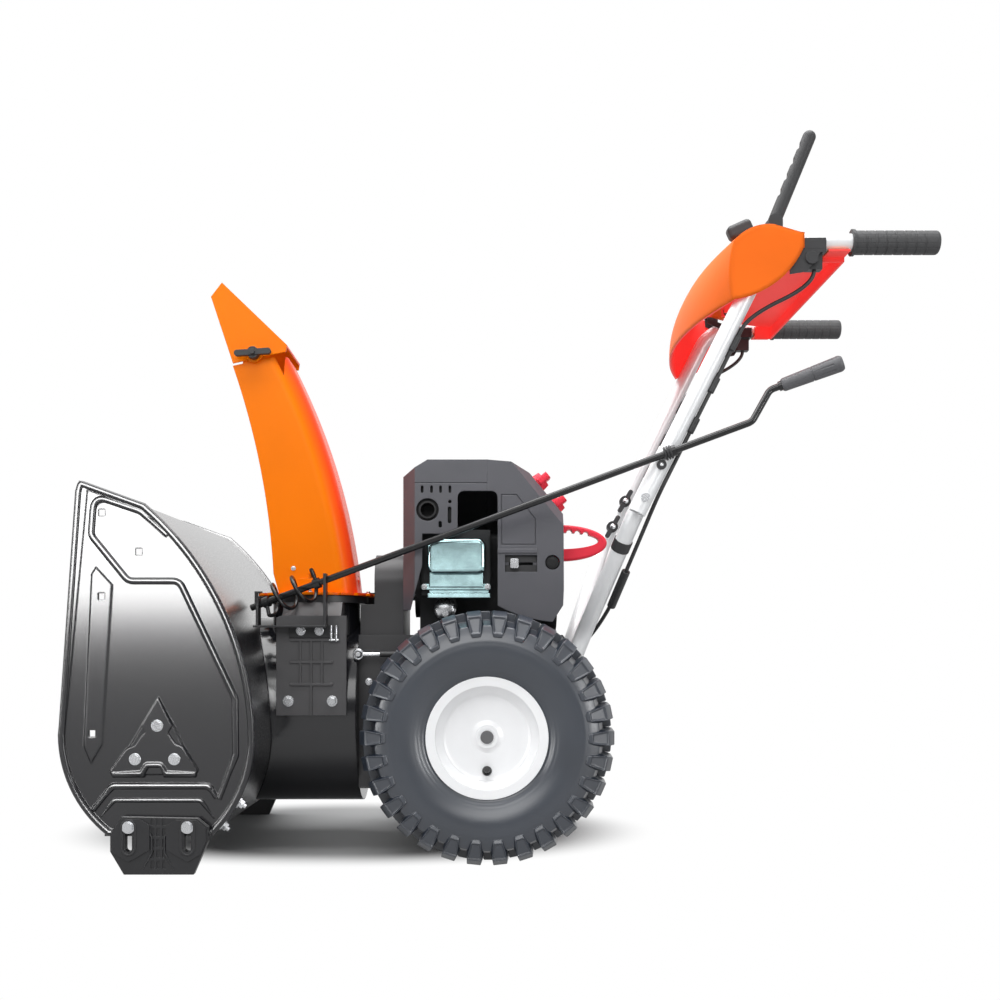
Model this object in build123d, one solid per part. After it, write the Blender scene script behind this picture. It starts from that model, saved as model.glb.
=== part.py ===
from build123d import *
import os
from math import asin, atan2, cos, degrees, hypot, radians, sin

# Two-stage walk-behind snow blower, millimetres. X runs to the rear, Y to the
# machine's right, Z up. Side-view points are (x, z) pairs measured from the axle
# line on the ground; every piece is moved to the overall middle when it is saved.

# Clearances
running_gap = 0.05
moving_gap = 0.5

# Auger housing
clearing_width = 610.0
housing_sheet = 2.5
hem_width = 9.0
hem_height = 3.0
bead_radius = 3.4
wrap_inset = 4.0
housing_front = -602.0
top_tip = (-572.0, 551.0)
lip_height = 15.0
top_corner = (-480.0, 519.0)
back_bulge = (-376.0, 388.0)
back_point = (-326.0, 178.0)
heel_bulge = (-341.0, 115.0)
heel = (-385.0, 52.0)
toe = (-532.0, 52.0)
toe_bulge = (-583.4, 115.0)
front_low_z = 194.0
drift_hole = 9.0
scraper_depth = 46.0
scraper_thick = 5.0

# Skid shoes
shoe_thick = 12.0
shoe_lobe = 3.0
shoe_height = 80.0
shoe_bolt_x = (-499.0, -417.0)
shoe_bolt_z = 67.0
shoe_bolt_d = 8.0
shoe_slot = 40.0

# Auger and its gearbox
auger_x = -465.0
auger_z = 175.0
auger_radius = 108.0
ribbon_width = 30.0
ribbon_thick = 4.0
auger_pitch = 250.0
auger_shaft_d = 20.0
hub_d = 34.0
tooth_count = 11
gearbox_radius = 46.0
gearbox_half = 25.0
gearbox_neck = 23.0

# Impeller drum and discharge neck
impeller_z = 215.0
drum_radius = 148.0
drum_rear = -200.0
impeller_gap = 10.0
impeller_front = -322.0
impeller_depth = 96.0
blade_thick = 4.0
blade_count = 4
impeller_shaft_d = 20.0
neck_radius = 69.0
chute_x = -272.0
chute_y = -50.0
tower_front = -321.0
tower_rear = -214.0
tower_foot = 212.0
tower_top = 364.0
tower_sheet = 4.0
tower_rib = 3.0
tower_rib_levels = (259.5, 293.5, 327.0)
tower_rib_step = 16.5

# Chute, ring, worm and crank
collar_z = 385.0
collar_height = 11.0
ring_radius = 92.0
ring_thick = 4.0
notch_count = 18
notch_width = 11.0
notch_depth = 9.0
chute_wall = 3.0
chute_half = 66.0
chute_corner = 30.0
deflector_gap = 1.2
deflector_bolt_d = 8.0
hinge_point = (-360.0, 769.0)
chute_rear = ((-203.0, 400.5), (-236.0, 576.0), (-312.0, 770.0))
chute_front = ((-331.0, 430.0), (-346.0, 565.0), (-394.0, 752.0))
worm_radius = 22.0
worm_wire = 6.0
worm_pitch = 33.0
worm_turns = 2.6
worm_mesh = 5.0
rod_d = 10.0
guide_eye_radius = 8.0
guide_spot = (263.0, 595.0)
crank_reach = 118.0
crank_throw = 40.0
crank_run = 38.0
crank_lean = 25.0
crank_grip_length = 88.0
crank_grip_d = 23.0

# Wheels
tyre_radius = 185.0
tyre_width = 128.0
carcass_radius = 172.0
tyre_wall = 9.0
rim_flange_radius = 90.0
rim_sheet = 2.5
tyre_gap = 32.0
axle_d = 19.0
lug_count = 30
lug_width = 19.0

# Transmission case and belt drive
case_half = 105.0
case_sheet = 3.0
case_floor = 98.0
case_top = 335.0
belt_x = -155.0
belt_width = 12.0
belt_height = 8.0
engine_shaft_z = 404.0
engine_shaft_d = 25.0
engine_pulley_radius = 42.0
impeller_pulley_radius = 84.0
belt_cover_front = -177.0
belt_cover_rear = -131.0
belt_cover_half = 86.0
belt_cover_top = 463.0
belt_foot_front = -199.0
belt_foot_top = 383.0

# Engine
engine_front = -127.0
engine_rear = 115.0
engine_near = -187.0
engine_far = 100.0
engine_top = 597.0
shroud_wall = 3.0
shroud_skirt = 469.0
shroud_leg = 372.0
shroud_corner = (19.0, 28.0)
shroud_edge = (16.0, 12.0)
tank_depth = 66.0
cap_radius = 27.0
pull_y = -112.0
pull_z = 477.0
pull_sink = 11.5
pull_height = 56.0
pull_length = 73.0
pull_thick = 20.0
pull_bar = 9.0
pull_hole = (60.0, 13.0)
pull_hole_rise = 3.5
cord_d = 5.0

# Handles
tube_d = 25.4
tube_wall = 1.6
handle_y = 262.0
grip_z = 898.0
bend_x = 410.0
joint_low = (226.0, 531.0)
joint_high = 577.0
joint_end = 604.0
case_bolt_low = 190.0
case_bolt_high = 290.0
grip_front = 523.0
grip_rear = 649.0
grip_d = 34.0
tube_bend = 60.0

# Dash, levers and cables
dash_skin = 3.0
hood_side = ((350.0, 810.0), (345.0, 853.0), (352.0, 896.0))
hood_middle = ((308.0, 809.0), (314.0, 856.0), (333.0, 901.0))
hood_crown = (408.0, 919.0)
hood_rear = ((519.0, 899.0), 876.0)
hood_cheek = ((451.0, 886.0), (420.0, 843.0), (353.0, 812.0))
cheek_gap = 4.0
lever_d = 19.0
lever_pivot = (412.0, 926.0)
lever_length = 134.0
lever_angle = 67.6
shift_pivot = (398.0, 868.0)
shift_height = 124.0
cable_d = 6.0

# Worked-out places
half_width = clearing_width / 2
plate_inner = half_width - housing_sheet
origin_x = (housing_front + grip_rear) / 2
tube_r = tube_d / 2
cheek_inner = handle_y + tube_r + cheek_gap
guide_point = (guide_spot[0], -(handle_y + tube_r + guide_eye_radius + moving_gap), guide_spot[1])
lower_y = handle_y - tube_d
case_tube_y = case_half + tube_r
wheel_y = case_half + tyre_gap + tyre_width / 2
impeller_radius = drum_radius - impeller_gap
ring_z = collar_z + collar_height + moving_gap
mesh_reach = ring_radius + worm_radius + worm_wire / 2 - worm_mesh
guide_dx = guide_point[0] - chute_x
guide_dy = guide_point[1] - chute_y
rod_yaw = atan2(guide_dy, guide_dx) + asin(mesh_reach / hypot(guide_dx, guide_dy))
mesh_point = Vector(
    chute_x + mesh_reach * sin(rod_yaw),
    chute_y - mesh_reach * cos(rod_yaw),
    ring_z + ring_thick / 2,
)
rod_dir = (Vector(*guide_point) - mesh_point).normalized()
rod_plane = Plane(mesh_point, x_dir=(-sin(rod_yaw), cos(rod_yaw), 0), z_dir=rod_dir)
pieces = {}


def flat(*lines):
    curve = Curve() + list(lines)
    return make_face(curve.edges())


def poly(*points):
    return make_face(Polyline(*points, close=True).edges())


def slab(face, y_from, y_to):
    return extrude(Plane.XZ.offset(-y_to) * face, y_to - y_from)


def block(x, y, z):
    size = (x[1] - x[0], y[1] - y[0], z[1] - z[0])
    return Pos(sum(x) / 2, sum(y) / 2, sum(z) / 2) * Box(*size)


def rod(start, end, radius):
    start, end = Vector(*start), Vector(*end)
    run = end - start
    return extrude(Plane(start, z_dir=run) * Circle(radius), run.length)


def pipe(path, outer, inner=0):
    ends = Plane(path @ 0, z_dir=path % 0)
    ring = Circle(outer) - Circle(inner) if inner else Circle(outer)
    return sweep(ends * ring, path=path)


def bolt(point, axis, head_d, length, head=5.0, shank=8.0):
    seat = Plane(point, z_dir=axis)
    body = extrude(seat * RegularPolygon(head_d / 2, 6), head)
    return body + extrude(seat * Circle(shank / 2), -length)


def mirrored(shape):
    return mirror(shape, about=Plane.XZ)


def keep(name, *shapes):
    solids = []
    for shape in shapes:
        solids += [Pos(-origin_x, 0, 0) * s for s in shape.solids()]
    pieces[name] = solids[0] if len(solids) == 1 else Compound(children=solids)


def housing_outline():
    front_top = (top_tip[0] + 2, top_tip[1] - lip_height)
    front_low = (housing_front, front_low_z)
    return flat(
        Line(front_low, front_top),
        Line(front_top, (top_tip[0] - 6, front_top[1])),
        Line((top_tip[0] - 6, front_top[1]), top_tip),
        Line(top_tip, top_corner),
        ThreePointArc(top_corner, back_bulge, back_point),
        ThreePointArc(back_point, heel_bulge, heel),
        Line(heel, toe),
        ThreePointArc(toe, toe_bulge, front_low),
    )


def side_plate():
    outline = housing_outline()
    outer = -half_width
    plate = slab(outline, outer, -plate_inner)
    plate += slab(outline - offset(outline, -hem_width), outer - hem_height, outer)
    lozenge = poly((-549, 431), (-525, 405), (-539, 180), (-556, 151), (-567, 178), (-556, 420))
    boss = poly((-462, 246), (-438, 206), (-406, 137), (-527, 137), (-486, 206))
    pressed = Plane.XZ.offset(half_width)
    for pad in (lozenge, boss):
        plate += extrude(pressed * pad, hem_height, taper=40)
    panel_bead = FilletPolyline(
        (-449, 474), (-487, 508), (-552, 530), (-556, 474), (-504, 410),
        (-432, 410), (-354, 246), (-353, 165), (-376, 104),
        radius=16,
    )
    sill_bead = FilletPolyline((-553, 88), (-526, 122), (-391, 122), (-380, 106), radius=7)
    for bead in (panel_bead, sill_bead):
        plate += pipe(Pos(0, outer, 0) * (Plane.XZ * bead), bead_radius)
    for x, z in ((-541, 506), (-489, 451), (-541, 388), (-554, 196)):
        plate -= Pos(x, outer, z) * Box(drift_hole, 6 * hem_height, drift_hole)
    inside = Pos(0, -plate_inner + 50, 0) * Box(2000, 100, 2000)
    plate -= inside
    for x, y, z in plate_bolts():
        plate -= rod((x, outer - 20, z), (x, outer + 20, z), shoe_bolt_d / 2 + running_gap)
    return plate


def plate_bolts():
    shoe = [(x, -half_width, shoe_bolt_z) for x in shoe_bolt_x]
    spots = ((-462, 207), (-493, 160), (-438, 160))
    return shoe + [(x, -half_width - hem_height, z) for x, z in spots]


def housing_wrap():
    outline = housing_outline()
    band = offset(outline, -wrap_inset) - offset(outline, -wrap_inset - housing_sheet)
    band -= poly((-700, -20), (-536, -20), (-558, 600), (-700, 600))
    wrap = slab(band, -plate_inner, plate_inner)
    wrap -= rod((-460, 0, impeller_z), (-300, 0, impeller_z), drum_radius - housing_sheet)
    return wrap


def impeller_drum():
    inner = drum_radius - housing_sheet
    neck_inner = neck_radius - housing_sheet
    drum = rod((-420, 0, impeller_z), (drum_rear, 0, impeller_z), drum_radius)
    drum += rod((chute_x, chute_y, impeller_z), (chute_x, chute_y, collar_z), neck_radius)
    rear_face = drum_rear - housing_sheet
    drum -= rod((-430, 0, impeller_z), (rear_face, 0, impeller_z), inner)
    drum -= rod((chute_x, chute_y, impeller_z), (chute_x, chute_y, collar_z + 5), neck_inner)
    drum -= rod((-220, 0, impeller_z), (-190, 0, impeller_z), impeller_shaft_d / 2 + 3)
    drum -= slab(offset(housing_outline(), -wrap_inset), -half_width, half_width)
    return max(drum.solids(), key=lambda s: s.volume)


def tower_bracket():
    y = -drum_radius
    mid = (tower_front + tower_rear) / 2
    plate = block((tower_front, tower_rear), (y - tower_sheet, y), (tower_foot, tower_top))
    face = Plane.XZ.offset(-y + tower_sheet)
    low, high = tower_rib_levels[0], tower_rib_levels[-1]
    ribs = Pos(mid, (tower_foot + high) / 2) * Rectangle(tower_rib, high - tower_foot)
    for side in (-1, 1):
        ribs += Pos(mid + side * tower_rib_step, (low + high) / 2) * Rectangle(tower_rib, high - low)
    for level in tower_rib_levels:
        ribs += Pos(mid, level) * SlotOverall(4 * tower_rib_step, tower_sheet)
    plate += extrude(face * ribs, tower_rib)
    gusset = poly(
        (y - tower_sheet, tower_top),
        (y - tower_sheet, tower_top - 14),
        (chute_y - 40, collar_z - 14),
        (chute_y - 40, collar_z),
        (chute_y - 82, collar_z),
    )
    span = Plane((tower_front + 8, 0, 0), x_dir=(0, 1, 0), z_dir=(1, 0, 0))
    plate += extrude(span * gusset, tower_rear - tower_front - 16)
    plate -= rod((chute_x, chute_y, 200), (chute_x, chute_y, 500), neck_radius)
    plate -= rod((-420, 0, impeller_z), (drum_rear + 5, 0, impeller_z), drum_radius)
    swept = worm_radius + worm_wire / 2 + 2
    plate -= rod_plane * Cylinder(swept, worm_turns * worm_pitch + 4 * worm_wire)
    return max(plate.solids(), key=lambda s: s.volume)


def chute_collar():
    axis = Pos(chute_x, chute_y, collar_z)
    reach = ring_radius - notch_depth - 1
    collar = axis * extrude(Circle(reach) - Circle(neck_radius - housing_sheet), collar_height)
    top = collar_height + ring_thick + 2 * moving_gap
    for angle in (30, 110, 190):
        out = ring_radius + moving_gap
        keeper = block((reach - 4, out + 6), (-9, 9), (0, collar_height))
        keeper += block((out, out + 6), (-9, 9), (0, top + 3))
        keeper += block((ring_radius - 6, out + 6), (-9, 9), (top, top + 3))
        collar += axis * Rot(0, 0, angle) * keeper
    return collar


def chute_profile(inset):
    base, bulge, top = [(x - inset, z) for x, z in chute_rear]
    rear = ThreePointArc(base, bulge, top)
    if inset:
        far, low, high = chute_front[1][0] - 200, chute_rear[0][1] - 18, chute_rear[2][1] + 120
        rest = Polyline(top, (top[0], high), (far, high), (far, low), (base[0], low), base)
        return flat(rear, rest)
    lip, belly, mouth = chute_front
    foot = (lip[0] + 8, base[1])
    front = [ThreePointArc(mouth, belly, lip), Line(lip, foot), Line(foot, base)]
    return flat(rear, Line(top, mouth), *front)


def rounded_channel(inset):
    half = chute_half - inset
    body = slab(chute_profile(inset), chute_y - half, chute_y + half)
    arcs = body.edges().filter_by(GeomType.CIRCLE)
    back = [e for e in arcs if e.center().X > chute_front[1][0] + 60]
    return fillet(back, chute_corner - inset)


def at_hinge(*points):
    return [(hinge_point[0] + x, hinge_point[1] + z) for x, z in points]


def chute():
    body = rounded_channel(0)
    brow_front, foot_front, foot_rear, brow_rear = at_hinge((-16, 5), (-20, -23), (20, -20), (16, 5))
    crown = at_hinge((0, 16))[0]
    ear = flat(
        Polyline(brow_front, foot_front, foot_rear, brow_rear),
        ThreePointArc(brow_rear, crown, brow_front),
    )
    for side in (-1, 1):
        y = chute_y + side * (chute_half - chute_wall / 2)
        body += slab(ear, y - chute_wall / 2, y + chute_wall / 2)
    axis = Pos(chute_x, chute_y, ring_z)
    body += axis * extrude(Circle(neck_radius), 26)
    body -= rounded_channel(chute_wall)
    body -= Pos(chute_x, chute_y, ring_z - 1) * extrude(Circle(neck_radius - chute_wall), 34)
    ring = Circle(ring_radius) - Circle(neck_radius - chute_wall)
    notch = Pos(ring_radius - notch_depth / 2 + 1, 0) * Rectangle(notch_depth + 2, notch_width)
    for i in range(notch_count):
        ring -= Rot(0, 0, degrees(rod_yaw) - 90 + i * 360 / notch_count) * notch
    body += axis * extrude(ring, ring_thick)
    x, z = hinge_point
    body -= rod((x, chute_y - 90, z), (x, chute_y + 90, z), deflector_bolt_d / 2 + running_gap)
    return max(body.solids(), key=lambda s: s.volume)


def deflector():
    inner = chute_half + deflector_gap
    outer = inner + chute_wall
    corners = at_hinge((-50, 111), (-67, 89), (-33, -14), (49, 4), (50.5, 14.5))
    tip, nose, chin, heel_low, heel_high = corners
    cap = slab(poly(*corners), chute_y - outer, chute_y + outer)
    dx, dz = tip[0] - heel_high[0], tip[1] - heel_high[1]
    size = hypot(dx, dz)
    ux, uz = dx / size, dz / size
    roof = [
        (heel_high[0] + way * ux - chute_wall * uz, heel_high[1] + way * uz + chute_wall * ux)
        for way in (-10, size + 30)
    ]
    ahead, below = nose[0] - 60, chin[1] - 50
    void = poly(*roof, (ahead, roof[1][1]), (ahead, below), (heel_low[0] + 9, below))
    cap -= slab(void, chute_y - inner, chute_y + inner)
    x, z = hinge_point
    for side in (-1, 1):
        cap += rod((x, chute_y + side * outer, z), (x, chute_y + side * (outer + 2), z), 13)
    cap -= rod((x, chute_y - 90, z), (x, chute_y + 90, z), deflector_bolt_d / 2)
    return max(cap.solids(), key=lambda s: s.volume)


def deflector_knobs():
    outer = chute_half + deflector_gap + chute_wall + 2
    inner = chute_half - chute_wall - moving_gap
    x, z = hinge_point
    made = []
    for side in (-1, 1):
        y = chute_y + side * outer
        stem = rod((x, chute_y + side * inner, z), (x, y + side * 20, z), deflector_bolt_d / 2)
        stem += rod((x, chute_y + side * inner, z), (x, chute_y + side * (inner - 4), z), 8)
        stem += rod((x, y, z), (x, y + side * 14, z), 9)
        wing = Pos(x, y + side * 12, z) * Rot(0, -4, 0) * Box(56, 9, 9)
        made.append(stem + fillet(wing.edges().filter_by(Axis.Y), 4))
    return made


def print_coil_gap(helix):
    steps = round(worm_turns * 48)
    points = [helix @ (i / steps) for i in range(steps + 1)]
    apart = min((a - b).length for i, a in enumerate(points) for b in points[i + 24:])
    print("worm coil: least gap to itself", round(apart - worm_wire, 2), "mm")


def chute_worm():
    length = worm_turns * worm_pitch
    start = -length / 2
    turn = worm_turns * 180
    helix = Helix(worm_pitch, length, worm_radius)
    helix = Pos(0, 0, start) * Rot(0, 0, -turn) * helix
    spiral = sweep(Plane(helix @ 0, z_dir=helix % 0) * Circle(worm_wire / 2), path=helix, is_frenet=True)
    print_coil_gap(helix)
    for z, angle in ((start, -turn), (-start, turn)):
        arm = Pos(0, 0, z) * Rot(0, 0, angle) * Pos((worm_radius + rod_d / 2) / 2, 0, 0)
        spiral += arm * Rot(0, 90, 0) * Cylinder(worm_wire / 2, worm_radius - rod_d / 2)
        sleeve = Circle(rod_d / 2 + 3) - Circle(rod_d / 2)
        spiral += Pos(0, 0, z - 5) * extrude(sleeve, 10)
    return rod_plane * spiral


def crank_points():
    lean = radians(crank_lean)
    guide = (Vector(*guide_point) - mesh_point).length
    end = guide + crank_reach
    up = rod_plane.y_dir * cos(lean) + rod_plane.x_dir * sin(lean)
    foot = mesh_point + rod_dir * end
    top = foot + rod_dir * crank_run + up * crank_throw
    return foot, top, top + rod_dir * (grip_seat + crank_grip_length - 4)


worm_end = worm_turns * worm_pitch / 2 + 26
grip_seat = 17.5
stop_radius = 7.0
stop_thick = 4.0


def crank_rod():
    foot, top, tip = crank_points()
    start = mesh_point - rod_dir * worm_end
    path = FilletPolyline(start, foot, top, tip, radius=14)
    shank = pipe(path, rod_d / 2)
    for way in (grip_seat - moving_gap - stop_thick, grip_seat + crank_grip_length - stop_thick - 2):
        shank += extrude(Plane(top + rod_dir * way, z_dir=rod_dir) * Circle(stop_radius), stop_thick)
    return shank


def crank_grip():
    foot, top, tip = crank_points()
    base = Plane(top + rod_dir * grip_seat, z_dir=rod_dir, x_dir=rod_plane.x_dir)
    r = crank_grip_d / 2
    length = crank_grip_length
    bore = rod_d / 2 + 0.3
    pocket, floor = stop_radius + moving_gap, length - stop_thick - 2 - moving_gap
    butt, end = (r, length - 8), (r - 2.5, length)
    waist = flat(
        Polyline(end, (pocket, length), (pocket, floor), (bore, floor)),
        Polyline((bore, floor), (bore, 0), (r - 3.5, 0), (r - 2, 3), butt),
        ThreePointArc(butt, (r - 0.7, length - 2.5), end),
    )
    grip = revolve(Plane.XZ * waist, Axis.Z)
    ring = Circle(r + 1) - Circle(r - 1.6)
    grip -= Pos(0, 0, length / 2 - 1) * extrude(ring, 2)
    for i in range(8):
        for middle in (0.3, 0.69):
            grip -= Rot(0, 0, i * 45) * Pos(r + 0.9, 0, length * middle) * Cylinder(2, length * 0.32)
    return base * grip


def worm_bracket():
    face = -drum_radius - tower_sheet
    shelf, lip = tower_top - 18, tower_top - 33
    ways = (12 - worm_end, worm_end - 12)
    eyes = [mesh_point + rod_dir * way for way in ways]
    xs = [eye.X for eye in eyes]
    out = min(eye.Y for eye in eyes) - 13
    strap = block((xs[0] - 2, xs[1] + 2), (out, face), (shelf, shelf + 3))
    strap += block((tower_front + 20, tower_rear - 22), (face - 3, face), (lip, shelf + 3))
    for eye in eyes:
        strap += block((eye.X - 2, eye.X + 2), (eye.Y - 12, eye.Y + 12), (shelf, eye.Z + 10))
    strap -= rod_plane * Cylinder(rod_d / 2 + running_gap, 400)
    return strap


def rod_guide():
    x, y, z = guide_point
    eye = rod_plane * Pos(0, 0, (Vector(*guide_point) - mesh_point).length - 6)
    guide = eye * extrude(Circle(guide_eye_radius), 12)
    guide += rod((x, -handle_y - tube_r + 3, z), (x, y, z), 5)
    guide -= upper_tube_envelope()
    guide -= rod_plane * Cylinder(rod_d / 2 + running_gap, 2000)
    return max(guide.solids(), key=lambda s: s.volume)


def skid_shoe():
    outer = -half_width - hem_height
    outline = poly((-510, shoe_height), (-404, shoe_height - 2), (-389, 66), (-389, 46), (-409, 0),
                   (-506, 0), (-525, 32), (-525, 58))
    shoe = slab(outline, outer - shoe_thick, outer)
    mid = shoe_bolt_z + shoe_bolt_d / 2 + 1 - shoe_slot / 2
    for x in shoe_bolt_x:
        lobe = Pos(x, mid) * Rot(0, 0, 90) * RegularPolygon(34, 6)
        lobe = lobe & offset(outline, -2)
        shoe += slab(lobe, outer - shoe_thick - shoe_lobe, outer - shoe_thick)
    for i in range(5):
        for j in range(3):
            pit = Pos(-466 + 8 * j, outer - shoe_thick, 14 + 15 * i)
            shoe -= pit * Box(5, 3, 11)
    for x in shoe_bolt_x:
        slot = Pos(x, mid) * Rot(0, 0, 90) * SlotOverall(shoe_slot, shoe_bolt_d + 2)
        shoe -= slab(slot, outer - 40, outer + 5)
    return shoe


def shoe_bolts():
    seat = -half_width - hem_height - shoe_thick - shoe_lobe
    reach = -seat - plate_inner + 12
    made = []
    for x in shoe_bolt_x:
        b = bolt((x, seat, shoe_bolt_z), (0, -1, 0), 15, reach, 6, shoe_bolt_d)
        nut = Pos(x, -plate_inner, shoe_bolt_z) * Rot(-90, 0, 0) * extrude(RegularPolygon(7.5, 6), 6)
        made.append(b + nut)
    return made


def bearing_bolts():
    made = []
    for x, y, z in plate_bolts()[len(shoe_bolt_x):]:
        made.append(bolt((x, y, z), (0, -1, 0), 14, -y - plate_inner + 6.0, 5, shoe_bolt_d))
    return made


def auger_bearing():
    inner = -plate_inner + 6
    bearing = rod((auger_x, -plate_inner, auger_z), (auger_x, inner, auger_z), 52)
    bearing += rod((auger_x, inner, auger_z), (auger_x, inner + 8, auger_z), auger_shaft_d / 2 + 6)
    bore = auger_shaft_d / 2 + running_gap
    bearing -= rod((auger_x, -plate_inner + 2, auger_z), (auger_x, inner + 20, auger_z), bore)
    for x, y, z in plate_bolts()[len(shoe_bolt_x):]:
        bearing -= rod((x, -plate_inner - 1, z), (x, inner + 1, z), shoe_bolt_d / 2)
    return bearing


def scraper_bar():
    low = heel[1] + wrap_inset - scraper_thick
    half = plate_inner - moving_gap
    bar = block((toe[0] - 6, toe[0] + scraper_depth), (-half, half), (low, low + scraper_thick))
    return bar


def auger_shaft():
    end = plate_inner - 3
    return rod((auger_x, -end, auger_z), (auger_x, end, auger_z), auger_shaft_d / 2)


def auger_flight():
    reach = auger_radius - ribbon_width / 2
    inner_end = gearbox_half + 12
    height = plate_inner - 32 - inner_end
    helix = Helix(auger_pitch, height, reach, lefthand=True)
    start = Plane(helix @ 0, x_dir=(1, 0, 0), z_dir=helix % 0)
    ribbon = sweep(start * Rectangle(ribbon_width, ribbon_thick), path=helix, is_frenet=True)
    sweep_angle = -360 * height / auger_pitch
    for i in range(tooth_count):
        part_way = (i + 0.5) / tooth_count
        place = Rot(0, 0, sweep_angle * part_way) * Pos(auger_radius + 3, 0, height * part_way)
        ribbon -= place * Cylinder(10, 30)
    for part_way in (0.04, 0.5, 0.96):
        arm = Box(reach - hub_d / 2 + 8, 26, 5)
        place = Rot(0, 0, sweep_angle * part_way) * Pos((reach + hub_d / 2 - 4) / 2, 0, height * part_way)
        ribbon += place * Rot(-20, 0, 0) * arm
    tube = Circle(hub_d / 2) - Circle(auger_shaft_d / 2 + running_gap)
    flights = Pos(0, 0, -10) * extrude(tube, height + 26)
    flights += ribbon
    flights += Rot(0, 0, 180) * ribbon
    return Pos(auger_x, inner_end, auger_z) * Rot(-90, 0, 0) * flights


def auger_gearbox():
    case = rod((auger_x, -gearbox_half, auger_z), (auger_x, gearbox_half, auger_z), gearbox_radius)
    case += rod((auger_x - 46, 0, impeller_z), (auger_x + 64, 0, impeller_z), gearbox_neck)
    case += rod((auger_x + 52, 0, impeller_z), (auger_x + 64, 0, impeller_z), gearbox_neck + 5)
    case += rod((auger_x, -4, auger_z), (auger_x, 4, auger_z), gearbox_radius + 6)
    gap = running_gap
    case -= rod((auger_x, -99, auger_z), (auger_x, 99, auger_z), auger_shaft_d / 2 + gap)
    case -= rod((auger_x - 34, 0, impeller_z), (auger_x + 99, 0, impeller_z), impeller_shaft_d / 2 + gap)
    return case


def impeller_fan():
    rear = impeller_front + impeller_depth
    fan = rod((impeller_front + 10, 0, impeller_z), (rear, 0, impeller_z), 22)
    blade = poly((impeller_front + 34, 18), (rear, 18), (rear, impeller_radius),
                 (impeller_front, impeller_radius), (impeller_front, impeller_radius - 44))
    for i in range(blade_count):
        one_blade = slab(blade, -blade_thick / 2, blade_thick / 2)
        tip = block((impeller_front, rear), (-2, 16), (0, blade_thick))
        tip = Pos(0, 0, impeller_radius - blade_thick) * Rot(12, 0, 0) * tip
        tip = tip & rod((-400, 0, 0), (-100, 0, 0), impeller_radius)
        fan += Pos(0, 0, impeller_z) * Rot(i * 360 / blade_count, 0, 0) * (one_blade + tip)
    fan -= rod((-400, 0, impeller_z), (-150, 0, impeller_z), impeller_shaft_d / 2 + running_gap)
    return fan


def impeller_bearing():
    gap = impeller_shaft_d / 2 + running_gap
    bush = extrude(Circle(impeller_shaft_d / 2 + 3) - Circle(gap), housing_sheet + case_sheet)
    bush += Pos(0, 0, housing_sheet + case_sheet) * extrude(Circle(32) - Circle(gap), 5)
    return Plane((drum_rear - housing_sheet, 0, impeller_z), z_dir=(1, 0, 0)) * bush


def pulley(radius, bore):
    half = belt_width / 2 + moving_gap
    groove = radius - belt_height
    wheel = extrude(Circle(radius), 2 * half + 10)
    wheel -= Pos(0, 0, 5) * extrude(Circle(radius + 1) - Circle(groove), 2 * half)
    wheel -= extrude(Circle(bore), 100)
    return Pos(0, 0, -half - 5) * wheel


def impeller_shaft():
    shaft = rod((auger_x - 30, 0, impeller_z), (belt_x + 18, 0, impeller_z), impeller_shaft_d / 2)
    return shaft


def impeller_pulley():
    seat = Plane((belt_x, 0, impeller_z), z_dir=(1, 0, 0))
    wheel = pulley(impeller_pulley_radius, impeller_shaft_d / 2)
    for i in range(5):
        wheel -= Rot(0, 0, i * 72) * Pos(44, 0, 0) * Cylinder(13, 60)
    return seat * wheel


def engine_pulley():
    seat = Plane((belt_x, 0, engine_shaft_z), z_dir=(1, 0, 0))
    ends = [(x, 0, engine_shaft_z) for x in (belt_x - 14, engine_front + 60)]
    return seat * pulley(engine_pulley_radius, 1) + rod(*ends, engine_shaft_d / 2)


def drive_belt():
    small = engine_pulley_radius - belt_height + moving_gap
    large = impeller_pulley_radius - belt_height + moving_gap
    rise = engine_shaft_z - impeller_z

    def loop(extra):
        ends = Circle(large + extra).edges() + (Pos(0, rise) * Circle(small + extra)).edges()
        return make_hull(ends)

    seat = Plane((belt_x - belt_width / 2, 0, impeller_z), x_dir=(0, 1, 0), z_dir=(1, 0, 0))
    return extrude(seat * (loop(belt_height) - loop(0)), belt_width)


case_outline = ((drum_rear, case_floor), (drum_rear, case_top), (118.0, case_top), (150.0, 290.0),
                (150.0, 150.0), (110.0, case_floor))


def lower_bolt_spots():
    return [(75 + (z - 150) * 0.4, z) for z in (case_bolt_low, case_bolt_high)]


def transmission_case():
    t = case_sheet
    outline = poly(*case_outline)
    inner = offset(outline, -t) + poly((drum_rear + t, 50), (drum_rear + t, 150), (109, 150), (109, 50))
    case = slab(outline, -case_half, case_half)
    case -= slab(inner, -case_half + t, case_half - t)
    half = belt_cover_half - 6
    case -= block((belt_cover_front + 6, belt_cover_rear - 4), (-half, half), (case_top - 10, case_top + 10))
    case -= rod((0, -200, tyre_radius), (0, 200, tyre_radius), axle_d / 2 + 5)
    case -= rod((drum_rear - 5, 0, impeller_z), (drum_rear + 9, 0, impeller_z), impeller_shaft_d / 2 + 3)
    for x in (-150, -60):
        slot = Pos(x, 250) * SlotOverall(60, 16)
        for side in (-1, 1):
            case -= slab(slot, side * case_half - 5, side * case_half + 5)
    for x, z in lower_bolt_spots():
        case -= rod((x, -200, z), (x, 200, z), 4)
    return case


def bottom_cover():
    cover = block((drum_rear, case_outline[-1][0]), (-case_half, case_half), (case_floor - 2, case_floor))
    bead = block((-150, 60), (-70, -60), (case_floor - 5, case_floor - 2))
    return cover + bead + mirrored(bead)


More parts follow.
